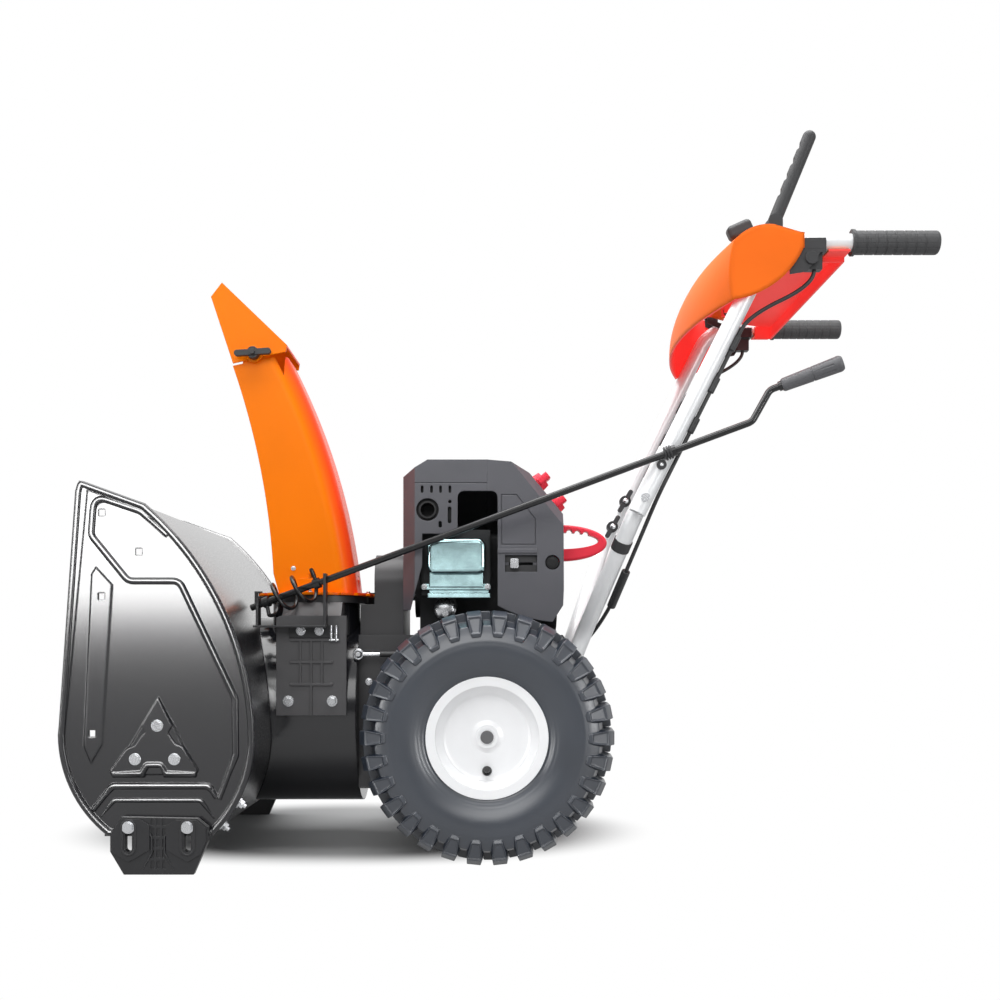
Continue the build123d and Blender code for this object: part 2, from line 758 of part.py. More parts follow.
def axle_bush():
    gap = axle_d / 2 + running_gap
    seat = Plane((0, -case_half + case_sheet, tyre_radius), z_dir=(0, -1, 0))
    bush = extrude(Circle(axle_d / 2 + 5) - Circle(gap), case_sheet)
    bush += Pos(0, 0, case_sheet) * extrude(Circle(22) - Circle(gap), 5)
    return seat * bush


def axle():
    return rod((0, -wheel_y - 34, tyre_radius), (0, wheel_y + 34, tyre_radius), axle_d / 2)


def rim():
    t = rim_sheet
    flange, seat = rim_flange_radius - 1, rim_flange_radius - 13.5
    well_r = seat - 10.5
    shape = [(flange, 51), (seat, 51), (seat, 36), (well_r, 27)]
    well = trace(Polyline(*shape, *[(r, -y) for r, y in reversed(shape)]), t)
    disc = trace(Polyline((well_r, 20), (well_r - 5, 17), (24, 17), (14, 21)), t)
    hub = Pos((axle_d / 2 + running_gap + 17) / 2, 0) * Rectangle(17 - axle_d / 2 - running_gap, 60)
    return revolve(well + disc + hub, Axis.Y)


def tyre():
    seat = rim_flange_radius - 12
    side = tyre_width / 2 - 1.5
    section = flat(
        Line((seat, 49.5), (91, 49.5)),
        ThreePointArc((91, 49.5), (128, side), (163, 54)),
        ThreePointArc((163, 54), (carcass_radius, 0), (163, -54)),
        ThreePointArc((163, -54), (128, -side), (91, -49.5)),
        Line((91, -49.5), (seat, -49.5)),
        Line((seat, -49.5), (seat, -38)),
        Line((seat, -38), (94, -38)),
        ThreePointArc((94, -38), (128, tyre_wall - side), (154, -45)),
        ThreePointArc((154, -45), (carcass_radius - tyre_wall, 0), (154, 45)),
        ThreePointArc((154, 45), (128, side - tyre_wall), (94, 38)),
        Line((94, 38), (seat, 38)),
        Line((seat, 38), (seat, 49.5)),
    )
    carcass = revolve(section, Axis.Y)
    edge = tyre_width / 2
    tread = [(tyre_radius, 6), (tyre_radius, 44), (173, 57), (150, edge), (143, 60), (158, 50), (164, 6)]
    lug = extrude(poly(*tread), lug_width / 2, both=True)
    other = mirrored(lug)
    step = 360 / lug_count
    lugs = [Rot(0, 90 + i * step, 0) * lug for i in range(lug_count)]
    lugs += [Rot(0, 90 + (i + 0.5) * step, 0) * other for i in range(lug_count)]
    return carcass + lugs


def on_axle(shape):
    return Pos(0, wheel_y, tyre_radius) * shape


def valve_stem():
    stem = rod((0, 12, -52), (0, 22, -50), 7)
    return stem + rod((0, 20, -50.4), (0, 43, -46), 4)


def belt_cover():
    def arch(inset, base):
        half, top = belt_cover_half - inset, belt_cover_top - inset
        frame = Pos(0, (base + top) / 2) * Rectangle(2 * half, top - base)
        return fillet(frame.vertices().group_by(Axis.Y)[-1], 46 - inset)

    seat = Plane((belt_cover_front, 0, 0), x_dir=(0, 1, 0), z_dir=(1, 0, 0))
    t = shroud_wall
    depth = belt_cover_rear - belt_cover_front
    cover = extrude(seat * arch(0, case_top), depth)
    cover -= Pos(t, 0, 0) * extrude(seat * arch(t, case_top - 5), depth - 2 * t)
    half = belt_cover_half
    foot = block((belt_foot_front, belt_cover_front + t), (-half, half), (case_top, belt_foot_top))
    foot -= block((belt_foot_front + t, belt_cover_front), (t - half, half - t), (0, belt_foot_top - t))
    way_out = [(x, 0, engine_shaft_z) for x in (belt_x, belt_cover_rear + 9)]
    return cover + foot - rod(*way_out, engine_shaft_d / 2 + 5)


cylinder_x = -47.0
cylinder_z = 445.0
fin_count = 8


def engine_block():
    body = block((-106, 85), (-70, 95), (case_top, 500))
    body = fillet(body.edges().filter_by(Axis.X), 12)
    body += rod((85, 0, engine_shaft_z), (engine_rear - shroud_wall, 0, engine_shaft_z), 62)
    body += rod((cylinder_x, -152, cylinder_z), (cylinder_x, -60, cylinder_z), 40)
    for i in range(fin_count):
        y = -148 + i * 10
        body += block((cylinder_x - 53, cylinder_x + 52), (y, y + 3), (cylinder_z - 50, cylinder_z + 50))
    body += block((cylinder_x - 50, cylinder_x + 50), (-152, -148), (cylinder_z - 41, cylinder_z + 41))
    body += rod((-64, -120, 381), (-64, -60, 381), 17)
    body += rod((-106, 0, engine_shaft_z), (-116, 0, engine_shaft_z), 40)
    body -= rod((-140, 0, engine_shaft_z), (-60, 0, engine_shaft_z), engine_shaft_d / 2 + running_gap)
    return body


def valve_cover():
    low, high = (cylinder_z - 42, cylinder_z + 35)
    seat = -152
    lip = block((cylinder_x - 53, cylinder_x + 53), (seat - 12, seat), (low, low + 9))
    lip = fillet(lip.edges().filter_by(Axis.Y), 4)
    cover = lip + block((cylinder_x - 40, cylinder_x + 41), (seat - 16, seat), (low + 4, high - 4))
    cover += block((cylinder_x - 43, cylinder_x + 52), (seat - 8, seat), (low - 12, low - 5))
    cover += block((cylinder_x - 41, cylinder_x + 50), (seat - 2, seat), (low - 12, low + 4))
    dome = block((cylinder_x - 43, cylinder_x + 45), (engine_near, seat - 8), (low + 23, high))
    dome = fillet(dome.edges().filter_by(Axis.Y), 13)
    return cover + fillet(dome.faces().sort_by(Axis.Y)[0].edges(), 7)


window_z = (467.0, 550.0)
window_x = (-44.0, 16.0)


def engine_window():
    size = (window_x[1] - window_x[0], window_z[1] - window_z[0])
    return Pos(sum(window_x) / 2, sum(window_z) / 2) * RectangleRounded(*size, 10)


def corner_wedge(inset):
    along, across = shroud_corner
    share = 1 + inset * hypot(1 / along, 1 / across)
    x, y = engine_front, engine_near
    face = poly((x, y), (x + share * along, y), (x, y + share * across))
    return Pos(0, 0, shroud_leg - 50) * extrude(face, 400)


def front_shroud():
    near, far, t = engine_near, engine_far, shroud_wall
    front, brow = engine_front, engine_front + 38
    skirt = shroud_skirt
    outline = poly((front, skirt), (front, 574), (brow, engine_top), (0, engine_top), (0, skirt))
    inner = poly((front + t, 400), (front + t, 574 - 0.6 * t), (brow + 0.3 * t, engine_top - t),
                 (9, engine_top - t), (9, 400))
    shell = slab(outline, near, far)
    foot = poly((front, skirt + 5), (front, shroud_leg), (front + 12, shroud_leg),
                (front + 30, skirt - 30), (front + 30, skirt + 5))
    shell += slab(foot, near, near + 96)
    shell -= corner_wedge(0)
    void = slab(inner, near + t, far - t)
    void += block((front + t, front + 99), (near + t, near + 99), (shroud_leg - 5, skirt + 9))
    shell -= void - corner_wedge(t)
    shell -= block((-97, 5), (near - 5, near + 9), (shroud_leg, 486))
    shell -= slab(engine_window(), near - 5, near + 9)
    holes = [Pos(x, 552.5) * Rot(0, 0, 90) * SlotOverall(11, 4) for x in (-97, -83, -69.5, -55.5)]
    holes += [Pos(-55.5, 534) * Circle(2.6), Pos(-56, 514) * Rot(0, 0, 90) * SlotOverall(25, 5.4)]
    holes += [Pos(-70, 500) * Rot(0, 0, 90) * SlotOverall(10, 5), Pos(-89, 522) * Circle(17)]
    for hole in holes:
        shell -= slab(hole, near - 5, near + 9)
    shell -= block((front - 5, 5), (near - 1, near + 1), (561.4, 562.6))
    return max(shell.solids(), key=lambda s: s.volume)


slope_top = (64.0, 579.0)
slope_foot = (114.5, 517.0)
fuel_slot = (27.0, 75.0)
fuel_slot_z = (429.0, 454.0)


def slope_plane(share, y):
    dx, dz = slope_foot[0] - slope_top[0], slope_foot[1] - slope_top[1]
    spot = (slope_top[0] + share * dx, y, slope_top[1] + share * dz)
    return Plane(spot, x_dir=(0, 1, 0), z_dir=(-dz, 0, dx))


choke_seat = slope_plane(0.24, -150)
stop_seat = slope_plane(0.76, -128)
knob_stem_d = 8.0


def shroud_slab(face, y_from, y_to, inset):
    body = slab(face, y_from, y_to)
    rim = [e for e in body.edges() if abs(e.center().Y - y_from) < 0.1 and e.center().Z > slope_foot[1] + 20]
    down, across = shroud_edge
    return chamfer([e for e in rim if e.center().X > slope_top[0]], down - inset, across - inset / 2)


def rear_shroud():
    near, far, t = engine_near, engine_far, shroud_wall
    outline = flat(
        Polyline((0, 388), (0, engine_top), (36, 594), slope_top, slope_foot,
                 (engine_rear, 403), (114, 379), (98, 354)),
        ThreePointArc((98, 354), (52, 363), (0, 388)),
    )
    inner = poly((-9, engine_top - t), (35, 594 - t), (slope_top[0] - 1.4, slope_top[1] - t),
                 (engine_rear - t, slope_foot[1] - 1), (engine_rear - t, 300), (-9, 300))
    shell = shroud_slab(outline, near, far, 0) - shroud_slab(inner, near + t, far - t, t / 2)
    shell -= slab(engine_window(), near - 5, near + 9)
    shell -= block((-5, window_x[1]), (near - 5, near + 9), (300, sum(window_z) / 2))
    wide, tall = [(low - 2, high + 2) for low, high in (fuel_slot, fuel_slot_z)]
    tray = block(wide, (near, near + 10), tall)
    tray -= block(fuel_slot, (near - 1, near + 8), fuel_slot_z)
    shell -= block(fuel_slot, (near - 5, near + 9), fuel_slot_z)
    shell += tray
    mid = sum(fuel_slot_z) / 2
    shell -= block((fuel_slot[0] + 6, fuel_slot[1] - 6), (near + 5, near + 20), (mid - 2, mid + 2))
    shell -= rod((98, near - 5, 443), (98, near + 9, 443), 11)
    panel = poly((21, 545), (44.5, 545), (73, 508), (73, 469), (21, 469))
    shell -= slab(panel - offset(panel, -1.5), near - 5, near + 1.2)
    shell += block((window_x[1], 75), (near - 2.5, near + 1), (457, 463))
    room = moving_gap + pull_thick / 2
    rise = moving_gap + pull_height / 2
    shell -= block((engine_rear - t - 9, 140), (pull_y - room, pull_y + room), (pull_z - rise, pull_z + rise))
    for seat in (choke_seat, stop_seat):
        shell -= seat * Cylinder(knob_stem_d / 2 + running_gap, 40)
    return max(shell.solids(), key=lambda s: s.volume)


def engine_knob(seat):
    knob = Pos(0, 0, -12) * extrude(Circle(knob_stem_d / 2), 12 + moving_gap)
    body = Pos(0, 0, moving_gap) * extrude(Circle(14), 12, taper=8)
    bar = Pos(0, 0, 12) * Box(32, 12, 18)
    knob += body + fillet(bar.edges().filter_by(Axis.Z), 4)
    knob += Pos(0, 0, -12) * extrude(Circle(knob_stem_d / 2 + 2), 6)
    return seat * knob


def fuel_lever():
    mid = sum(fuel_slot_z) / 2
    x = fuel_slot[0] + 14
    tab = block((x - 6, x + 6), (engine_near - 5, engine_near + 8 - moving_gap), (mid - 7, mid + 7))
    tab = fillet(tab.edges().filter_by(Axis.Y), 2)
    tab += block((x - 4, x + 4), (engine_near + 7, engine_near + 13), (mid - 1.6, mid + 1.6))
    return tab + block((x - 4, x + 4), (engine_near + 10 + moving_gap, engine_near + 14), (mid - 5, mid + 5))


def muffler():
    can = block((-105, -47), (-178, -100), (cylinder_z + 50, 574))
    can = fillet(can.edges().filter_by(Axis.X), 14)
    can += rod((-89, -178, 522), (-89, engine_near + 1, 522), 13)
    return can - rod((-89, -150, 522), (-89, -200, 522), 10.5)


tank_top = 556.0
neck_height = 12.0


def fuel_tank():
    tank = block((-60, 85), (engine_far, engine_far + tank_depth), (430, tank_top))
    tank = fillet(tank.edges().filter_by(Axis.Z), 16)
    tank = fillet(tank.faces().sort_by(Axis.Z)[-1].edges(), 8)
    tank -= block((-57, 82), (engine_far + 3, engine_far + tank_depth - 3), (433, tank_top - 3))
    x, y = 12, engine_far + tank_depth / 2
    neck = rod((x, y, tank_top - 3), (x, y, tank_top + neck_height), cap_radius - 7)
    return tank + neck - rod((x, y, tank_top - 9), (x, y, tank_top + 90), cap_radius - 10)


def fuel_cap():
    x, y = 12, engine_far + tank_depth / 2
    low = tank_top + 1
    top = tank_top + neck_height + 6
    cap = rod((x, y, low), (x, y, top), cap_radius)
    cap -= rod((x, y, low - 1), (x, y, tank_top + neck_height + moving_gap), cap_radius - 7 + moving_gap)
    for i in range(12):
        cap -= Pos(x, y, (low + top) / 2) * Rot(0, 0, i * 30) * Pos(cap_radius + 1, 0, 0) * Cylinder(3, 60)
    return cap


def recoil_handle():
    base = engine_rear - pull_sink
    edge = base + pull_bar
    oval = Pos(edge, pull_z) * Ellipse(pull_length, pull_height / 2)
    oval -= Pos(base - 100, pull_z) * Rectangle(200, 200)
    loop = slab(oval, pull_y - pull_thick / 2, pull_y + pull_thick / 2)
    loop = fillet(loop.edges().filter_by(GeomType.ELLIPSE), 4)
    rise = pull_z + pull_hole_rise
    hole = Pos(edge, rise) * Ellipse(*pull_hole)
    for share in (0.25, 0.46, 0.67):
        hole += Pos(edge + share * pull_hole[0], rise + pull_hole[1] * (1 - share ** 2) ** 0.5) * Circle(4.5)
    hole -= Pos(edge - 100, pull_z) * Rectangle(200, 200)
    loop -= slab(hole, pull_y - 20, pull_y + 20)
    return loop - rod((base - 5, pull_y, pull_z), (edge - 2, pull_y, pull_z), cord_d / 2)


def starter_cord():
    base = engine_rear - pull_sink
    return rod((base - 24, pull_y, pull_z), (base + pull_bar - 2, pull_y, pull_z), cord_d / 2)


def handle_line(z):
    share = (z - joint_low[1]) / (grip_z - joint_low[1])
    return joint_low[0] + share * (bend_x - joint_low[0])


def lower_path():
    y = -case_tube_y
    foot_z = case_bolt_low - 60
    return FilletPolyline(
        (75 + (foot_z - 150) * 0.4, y, foot_z),
        (75 + (338 - 150) * 0.4, y, 338),
        (handle_line(505), -lower_y, 505),
        (handle_line(joint_end), -lower_y, joint_end),
        radius=tube_bend,
    )


def upper_path():
    y = -handle_y
    foot = (handle_line(510), y, 510)
    return FilletPolyline(foot, (bend_x, y, grip_z), (grip_rear - 4, y, grip_z), radius=tube_bend)


def upper_tube_envelope():
    return pipe(upper_path(), tube_r)


def joint_spots():
    return [(handle_line(z), z) for z in (joint_low[1], joint_high)]


def lower_handle():
    tube = pipe(lower_path(), tube_r, tube_r - tube_wall)
    for x, z in joint_spots() + lower_bolt_spots():
        tube -= rod((x, -300, z), (x, -50, z), 4)
    return tube


def upper_handle():
    tube = pipe(upper_path(), tube_r, tube_r - tube_wall)
    for x, z in joint_spots():
        tube -= rod((x, -300, z), (x, -50, z), 4)
    return tube


def handle_bolts():
    made = []
    for x, z in joint_spots():
        inner = -lower_y + tube_r
        stud = rod((x, -handle_y - tube_r, z), (x, inner + 16, z), 4)
        stud += rod((x, -handle_y - tube_r - 3.5, z), (x, -handle_y - tube_r, z), 6.5)
        made.append(stud)
    for x, z in lower_bolt_spots():
        stud = rod((x, -case_tube_y - tube_r, z), (x, -case_half + case_sheet + 8, z), 4)
        stud += rod((x, -case_tube_y - tube_r - 3, z), (x, -case_tube_y - tube_r, z), 8)
        stud += rod((x, -case_half + case_sheet, z), (x, -case_half + case_sheet + 6, z), 7)
        made.append(stud)
    return made


def handle_knobs():
    made = []
    for x, z in joint_spots():
        inner = -lower_y + tube_r
        knob = rod((x, inner, z), (x, inner + 14, z), 10)
        wing = Pos(x, inner + 13, z) * Rot(0, -60, 0) * Box(44, 14, 8)
        knob += fillet(wing.edges().filter_by(Axis.Y), 3)
        made.append(knob - rod((x, inner - 1, z), (x, inner + 16, z), 4))
    return made


def grip():
    seat = Plane((grip_front, -handle_y, grip_z), z_dir=(1, 0, 0))
    length = grip_rear - grip_front
    sleeve = extrude(Circle(grip_d / 2), length)
    sleeve = fillet(sleeve.edges(), 5)
    sleeve -= extrude(Circle(tube_r), length - 4)
    for i in range(7):
        sleeve -= Pos(0, 0, 18 + i * 14) * extrude(Circle(grip_d) - Circle(grip_d / 2 - 0.7), 3)
    return seat * (sleeve + extrude(Circle(grip_d / 2 + 2) - Circle(tube_r), 4))


def hood_front(bow, inset):
    pairs = zip(hood_side, hood_middle)
    ends = [(s[0] + bow * (m[0] - s[0]) + inset, s[1] + bow * (m[1] - s[1])) for s, m in pairs]
    brow = ((ends[2][0] + hood_crown[0]) / 2 - 5, (ends[2][1] + hood_crown[1]) / 2 + 6 - inset)
    top = (ends[2][0], ends[2][1] - inset / 2)
    crown = (hood_crown[0], hood_crown[1] - inset)
    return ends, [ThreePointArc(ends[0], ends[1], top), ThreePointArc(top, brow, crown)], crown


def hood_section(y, bow):
    ends, front, crown = hood_front(bow, 0)
    back, lip = hood_rear
    low = (back[0], lip)
    rise, belly, chin = hood_cheek
    edge = Polyline(crown, (446, 908), back, low, rise)
    rest = [ThreePointArc(rise, belly, chin), Line(chin, ends[0])]
    return Plane.XZ.offset(-y) * flat(*front, edge, *rest)


def hood_void(y, bow):
    t = dash_skin
    ends, front, crown = hood_front(bow, t)
    back, lip = hood_rear
    rear = back[0] - t
    low = ends[0][1] - 70
    rest = Polyline(crown, (446, 908 - t), (rear, back[1] - t), (rear, low), (ends[0][0], low), ends[0])
    return Plane.XZ.offset(-y) * flat(*front, rest)


def dash_panel():
    outer = cheek_inner + dash_skin
    hood = loft([hood_section(y, bow) for y, bow in ((-outer, 0), (0, 1), (outer, 0))])
    hood -= loft([hood_void(y, bow) for y, bow in ((-cheek_inner, 0), (0, 1), (cheek_inner, 0))])
    rear, under = hood_rear[0][0], grip_z - tube_r
    end = handle_y - 19
    for side in (-1, 1):
        hood -= block((hood_cheek[0][0] + 1, rear + 9), sorted((side * end, side * (outer + 9))), (700, 1000))
        hood -= block((388, rear + 9), sorted((side * end, side * cheek_inner)), (870, 940))
        wall = sorted((side * (end - dash_skin), side * end))
        hood += block((rear - 31, rear), wall, (hood_rear[1], under + 13))
        foot = sorted((side * (end - dash_skin), side * (handle_y + tube_r)))
        hood += block((rear - 31, rear), foot, (under - dash_skin, under))
    x, z = shift_pivot
    hood -= block((x - 16, x + 32), (-7, 7), (900, 930))
    for side in (-1, 1):
        lug = poly((x - 12, 916), (x - 12, z - 8), (x + 12, z - 8), (x + 12, 916))
        hood += slab(lug, side * 13 - 2, side * 13 + 2)
    hood += rod((x, -15, z), (x, 15, z), 4)
    return max(hood.solids(), key=lambda s: s.volume)


def shift_lever():
    x, z = shift_pivot
    hub = rod((x, -11 + moving_gap, z), (x, 11 - moving_gap, z), 9)
    stem = rod((x, 0, z + 6), (x + 14, 0, z + shift_height), 5)
    knob = Pos(x + 16, 0, z + shift_height + 6) * Rot(0, -24, 0) * Box(42, 26, 24)
    return hub + stem + fillet(knob.edges(), 8) - rod((x, -20, z), (x, 20, z), 4 + running_gap)


def lever_bracket():
    x0, x1 = 452, 484
    y = -handle_y
    wall = 2.5
    low = grip_z - tube_r
    clamp = block((x0, x1), (y - tube_r - wall, y + tube_r + wall), (low - 5, grip_z))
    clamp += block((x0 + 6, x1 - 4), (y - 9, y + 9), (858, grip_z))
    px, pz = lever_pivot
    ear = flat(
        Polyline((px - 10, pz), (px - 8, 906), (x0, low), (x1, low)),
        Polyline((x1, low), (x1, grip_z), (x0, grip_z), (px + 10, 908), (px + 10, pz)),
        ThreePointArc((px + 10, pz), (px, pz + 10), (px - 10, pz)),
    )
    for side in (-1, 1):
        edge = y + side * (tube_r + wall / 2 + moving_gap / 2)
        clamp += slab(ear, edge - wall / 2 + moving_gap / 4, edge + wall / 2)
    clamp += rod((px, y - tube_r - wall, pz), (px, y + tube_r + wall, pz), 4)
    plate = poly((x0 + 2, grip_z + 3), (x1, grip_z + 3), (x1 - 4, 886), (x0 + 5, 853),
                 (432, 849), (432, 860), (446, 882))
    clamp += slab(plate, y - tube_r - wall, y - tube_r)
    clamp += rod((x0 + 11, y - tube_r - wall - 3, 872), (x0 + 11, y - tube_r, 872), 9)
    return clamp - rod((x0 - 5, y, grip_z), (x1 + 5, y, grip_z), tube_r)


def paddle_lever():
    px, pz = lever_pivot
    y = -handle_y
    run = (cos(radians(lever_angle)), sin(radians(lever_angle)))
    tip = (px + lever_length * run[0], y, pz + lever_length * run[1])
    paddle = rod((px, y, pz), tip, lever_d / 2)
    paddle += Pos(*tip) * Sphere(lever_d / 2)
    hub_half = tube_r - 1
    paddle += rod((px, y - hub_half, pz), (px, y + hub_half, pz), 9)
    groove = lever_d / 2 + 9 - 2.4
    for i in range(4):
        way = 44 + i * 24
        spot = (px + way * run[0] - run[1] * groove, y, pz + way * run[1] + run[0] * groove)
        paddle -= Pos(*spot) * Rot(90, 0, 0) * Cylinder(9, 40)
    return paddle - rod((px, y - 40, pz), (px, y + 40, pz), 4 + running_gap)


def cable_offset():
    dx, dz = bend_x - joint_low[0], grip_z - joint_low[1]
    size = hypot(dx, dz)
    reach = tube_r + cable_d / 2 + moving_gap
    return reach * dz / size, -reach * dx / size


def control_cable():
    ox, oz = cable_offset()
    y = -handle_y
    path = FilletPolyline(
        (470, y, 857.6),
        (470, y, 838),
        (handle_line(800) + ox, y, 800 + oz),
        (handle_line(540) + ox, y, 540 + oz),
        (handle_line(490) + ox + 7, -lower_y + 8, 490 + oz),
        (75 + (352 - 150) * 0.4 + ox + 7, -case_tube_y - 4, 352 + oz),
        (140.4, -case_half + 14, 312),
        radius=20,
    )
    return pipe(path, cable_d / 2)


def cable_ties():
    ox, oz = cable_offset()
    reach = hypot(ox, oz)
    made = []
    for z in (632, 690, 750):
        seat = Plane((handle_line(z), -handle_y, z), x_dir=(ox, 0, oz), z_dir=(-oz, 0, ox))

        def around(extra):
            cable = Pos(reach, 0) * Circle(cable_d / 2 + extra)
            return make_hull(Circle(tube_r + extra).edges() + cable.edges())

        made.append(extrude(seat * (around(1.5) - around(0)), 6))
    return made


def both(shapes):
    found = shapes if isinstance(shapes, list) else [shapes]
    return found + [mirrored(s) for s in found]


def build():
    keep("side_plates", *both(side_plate()))
    keep("auger_housing", housing_wrap())
    keep("impeller_drum", impeller_drum())
    keep("tower_bracket", tower_bracket())
    keep("chute_collar", chute_collar())
    keep("skid_shoes", *both(skid_shoe()))
    keep("shoe_bolts", *both(shoe_bolts()))
    keep("bearing_bolts", *both(bearing_bolts()))
    keep("auger_bearings", *both(auger_bearing()))
    keep("scraper_bar", scraper_bar())
    keep("auger_gearbox", auger_gearbox())
    keep("auger_shaft", auger_shaft())
    flight = auger_flight()
    keep("auger_right", flight)
    keep("auger_left", mirrored(flight))
    keep("impeller_fan", impeller_fan())
    keep("impeller_shaft", impeller_shaft())
    keep("impeller_bearing", impeller_bearing())
    keep("impeller_pulley", impeller_pulley())
    keep("engine_pulley", engine_pulley())
    keep("drive_belt", drive_belt())
    keep("chute", chute())
    keep("deflector", deflector())
    keep("deflector_knobs", *deflector_knobs())
    keep("chute_worm", chute_worm())
    keep("crank_rod", crank_rod())
    keep("crank_grip", crank_grip())
    keep("worm_bracket", worm_bracket())
    keep("rod_guide", rod_guide())
    keep("transmission_case", transmission_case())
    keep("bottom_cover", bottom_cover())
    keep("axle_bushes", *both(axle_bush()))
    keep("axle", axle())
    stem = valve_stem()
    keep("rims", *both(on_axle(rim() - stem)))
    keep("tyres", *both(on_axle(tyre())))
    keep("valve_stems", *both(on_axle(stem)))
    keep("belt_cover", belt_cover())
    keep("engine_block", engine_block())
    keep("valve_cover", valve_cover())
    keep("front_shroud", front_shroud())
    keep("rear_shroud", rear_shroud())
    keep("muffler", muffler())
    keep("fuel_tank", fuel_tank())
    keep("fuel_cap", fuel_cap())
    keep("recoil_handle", recoil_handle())
    keep("starter_cord", starter_cord())
    keep("choke_knob", engine_knob(choke_seat))
    keep("stop_knob", engine_knob(stop_seat))
    keep("fuel_lever", fuel_lever())
    keep("lower_handles", *both(lower_handle()))
    keep("upper_handles", *both(upper_handle()))
    keep("grips", *both(grip()))
    lever = paddle_lever()
    keep("drive_lever", lever)
    keep("auger_lever", mirrored(lever))
    keep("lever_brackets", *both(lever_bracket()))
    keep("handle_bolts", *both(handle_bolts()))
    keep("handle_knobs", *both(handle_knobs()))
    keep("dash_panel", dash_panel())
    keep("shift_lever", shift_lever())
    keep("control_cables", *both(control_cable()))
    keep("cable_ties", *both(cable_ties()))


def save():
    os.makedirs("parts", exist_ok=True)
    for name, shape in pieces.items():
        export_step(shape, "parts/" + name + ".step")


build()
save()
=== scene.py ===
import math

import bmesh
import bpy
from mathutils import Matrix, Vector
from mathutils.geometry import convex_hull_2d


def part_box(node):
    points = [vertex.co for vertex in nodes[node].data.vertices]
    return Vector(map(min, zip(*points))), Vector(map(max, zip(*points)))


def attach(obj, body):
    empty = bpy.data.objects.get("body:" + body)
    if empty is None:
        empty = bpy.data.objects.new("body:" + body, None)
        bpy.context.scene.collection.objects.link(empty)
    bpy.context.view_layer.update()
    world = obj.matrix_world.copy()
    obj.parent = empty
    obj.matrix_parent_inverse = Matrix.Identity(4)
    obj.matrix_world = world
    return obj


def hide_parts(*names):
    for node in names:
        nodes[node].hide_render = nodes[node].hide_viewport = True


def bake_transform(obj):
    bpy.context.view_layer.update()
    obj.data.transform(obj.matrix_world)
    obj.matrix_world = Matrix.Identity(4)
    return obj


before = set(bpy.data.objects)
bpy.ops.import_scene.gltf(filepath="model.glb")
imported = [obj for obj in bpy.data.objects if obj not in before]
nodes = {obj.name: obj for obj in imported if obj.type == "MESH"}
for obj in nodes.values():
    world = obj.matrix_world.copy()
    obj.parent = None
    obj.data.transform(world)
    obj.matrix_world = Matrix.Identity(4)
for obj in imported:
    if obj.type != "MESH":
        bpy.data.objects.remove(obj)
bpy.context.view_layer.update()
print("frame loaded:", len(nodes), "nodes")

grainValues = {
    "broadScale": 9.0, "broadDetail": 3.0, "broadRoughness": 0.55, "broadStops": (0.3, 0.7), "vary": 0.12,
    "fineDetail": 5.0, "fineRoughness": 0.6, "bumpDepth": 0.0004, "edgeSamples": 6,
    "padMortar": 0.03, "padSmooth": 0.6, "padBump": 0.6, "padDepth": 0.0012, "rearShade": (0.25, 0.8),
}
shaderInputs = (
    ("Metallic", "metallic", 0.0), ("IOR", "ior", 1.5), ("Specular IOR Level", "shine", 0.5),
    ("Coat Weight", "coat", 0.0), ("Coat Roughness", "coatRoughness", 0.1),
)


def newMaterial(name):
    material = bpy.data.materials.new(name)
    material.use_nodes = True
    tree = material.node_tree
    return material, tree, tree.nodes["Principled BSDF"]


def link(tree, source, target):
    tree.links.new(source, target)


def noise(tree, scale, detail, roughness, stretch=None):
    place = tree.nodes.new("ShaderNodeTexCoord")
    texture = tree.nodes.new("ShaderNodeTexNoise")
    texture.inputs["Scale"].default_value = scale
    texture.inputs["Detail"].default_value = detail
    texture.inputs["Roughness"].default_value = roughness
    source = place.outputs["Object"]
    if stretch:
        mapping = tree.nodes.new("ShaderNodeMapping")
        mapping.inputs["Scale"].default_value = stretch
        link(tree, source, mapping.inputs["Vector"])
        source = mapping.outputs["Vector"]
    link(tree, source, texture.inputs["Vector"])
    return texture.outputs["Fac"]


def ramp(tree, fac, places, colours):
    node = tree.nodes.new("ShaderNodeValToRGB")
    for element, place, colour in zip(node.color_ramp.elements, places, colours):
        element.position = place
        element.color = tuple(colour) + (1.0,)
    link(tree, fac, node.inputs["Fac"])
    return node.outputs["Color"]


def mapRange(tree, value, start=0.0, end=1.0, low=0.0, high=1.0, smooth=False):
    node = tree.nodes.new("ShaderNodeMapRange")
    if smooth:
        node.interpolation_type = "SMOOTHSTEP"
    for socket, number in (("From Min", start), ("From Max", end), ("To Min", low), ("To Max", high)):
        node.inputs[socket].default_value = number
    link(tree, value, node.inputs["Value"])
    return node.outputs["Result"]


def combine(tree, operation, first, second):
    node = tree.nodes.new("ShaderNodeMath")
    node.operation = operation
    link(tree, first, node.inputs[0])
    link(tree, second, node.inputs[1])
    return node.outputs["Value"]


def mixShaders(tree, fac, first, second):
    node = tree.nodes.new("ShaderNodeMixShader")
    link(tree, fac, node.inputs["Fac"])
    link(tree, first, node.inputs[1])
    link(tree, second, node.inputs[2])
    return node.outputs["Shader"]


def mixColour(tree, fac, first, second):
    node = tree.nodes.new("ShaderNodeMix")
    node.data_type = "RGBA"
    link(tree, fac, node.inputs[0])
    link(tree, first, node.inputs[6])
    node.inputs[7].default_value = tuple(second) + (1.0,)
    return node.outputs[2]


def bump(tree, shader, height, strength, distance, base=None):
    node = tree.nodes.new("ShaderNodeBump")
    node.inputs["Strength"].default_value = strength
    node.inputs["Distance"].default_value = distance
    link(tree, height, node.inputs["Height"])
    if base:
        link(tree, base, node.inputs["Normal"])
    link(tree, node.outputs["Normal"], shader.inputs["Normal"])
    return node.outputs["Normal"]


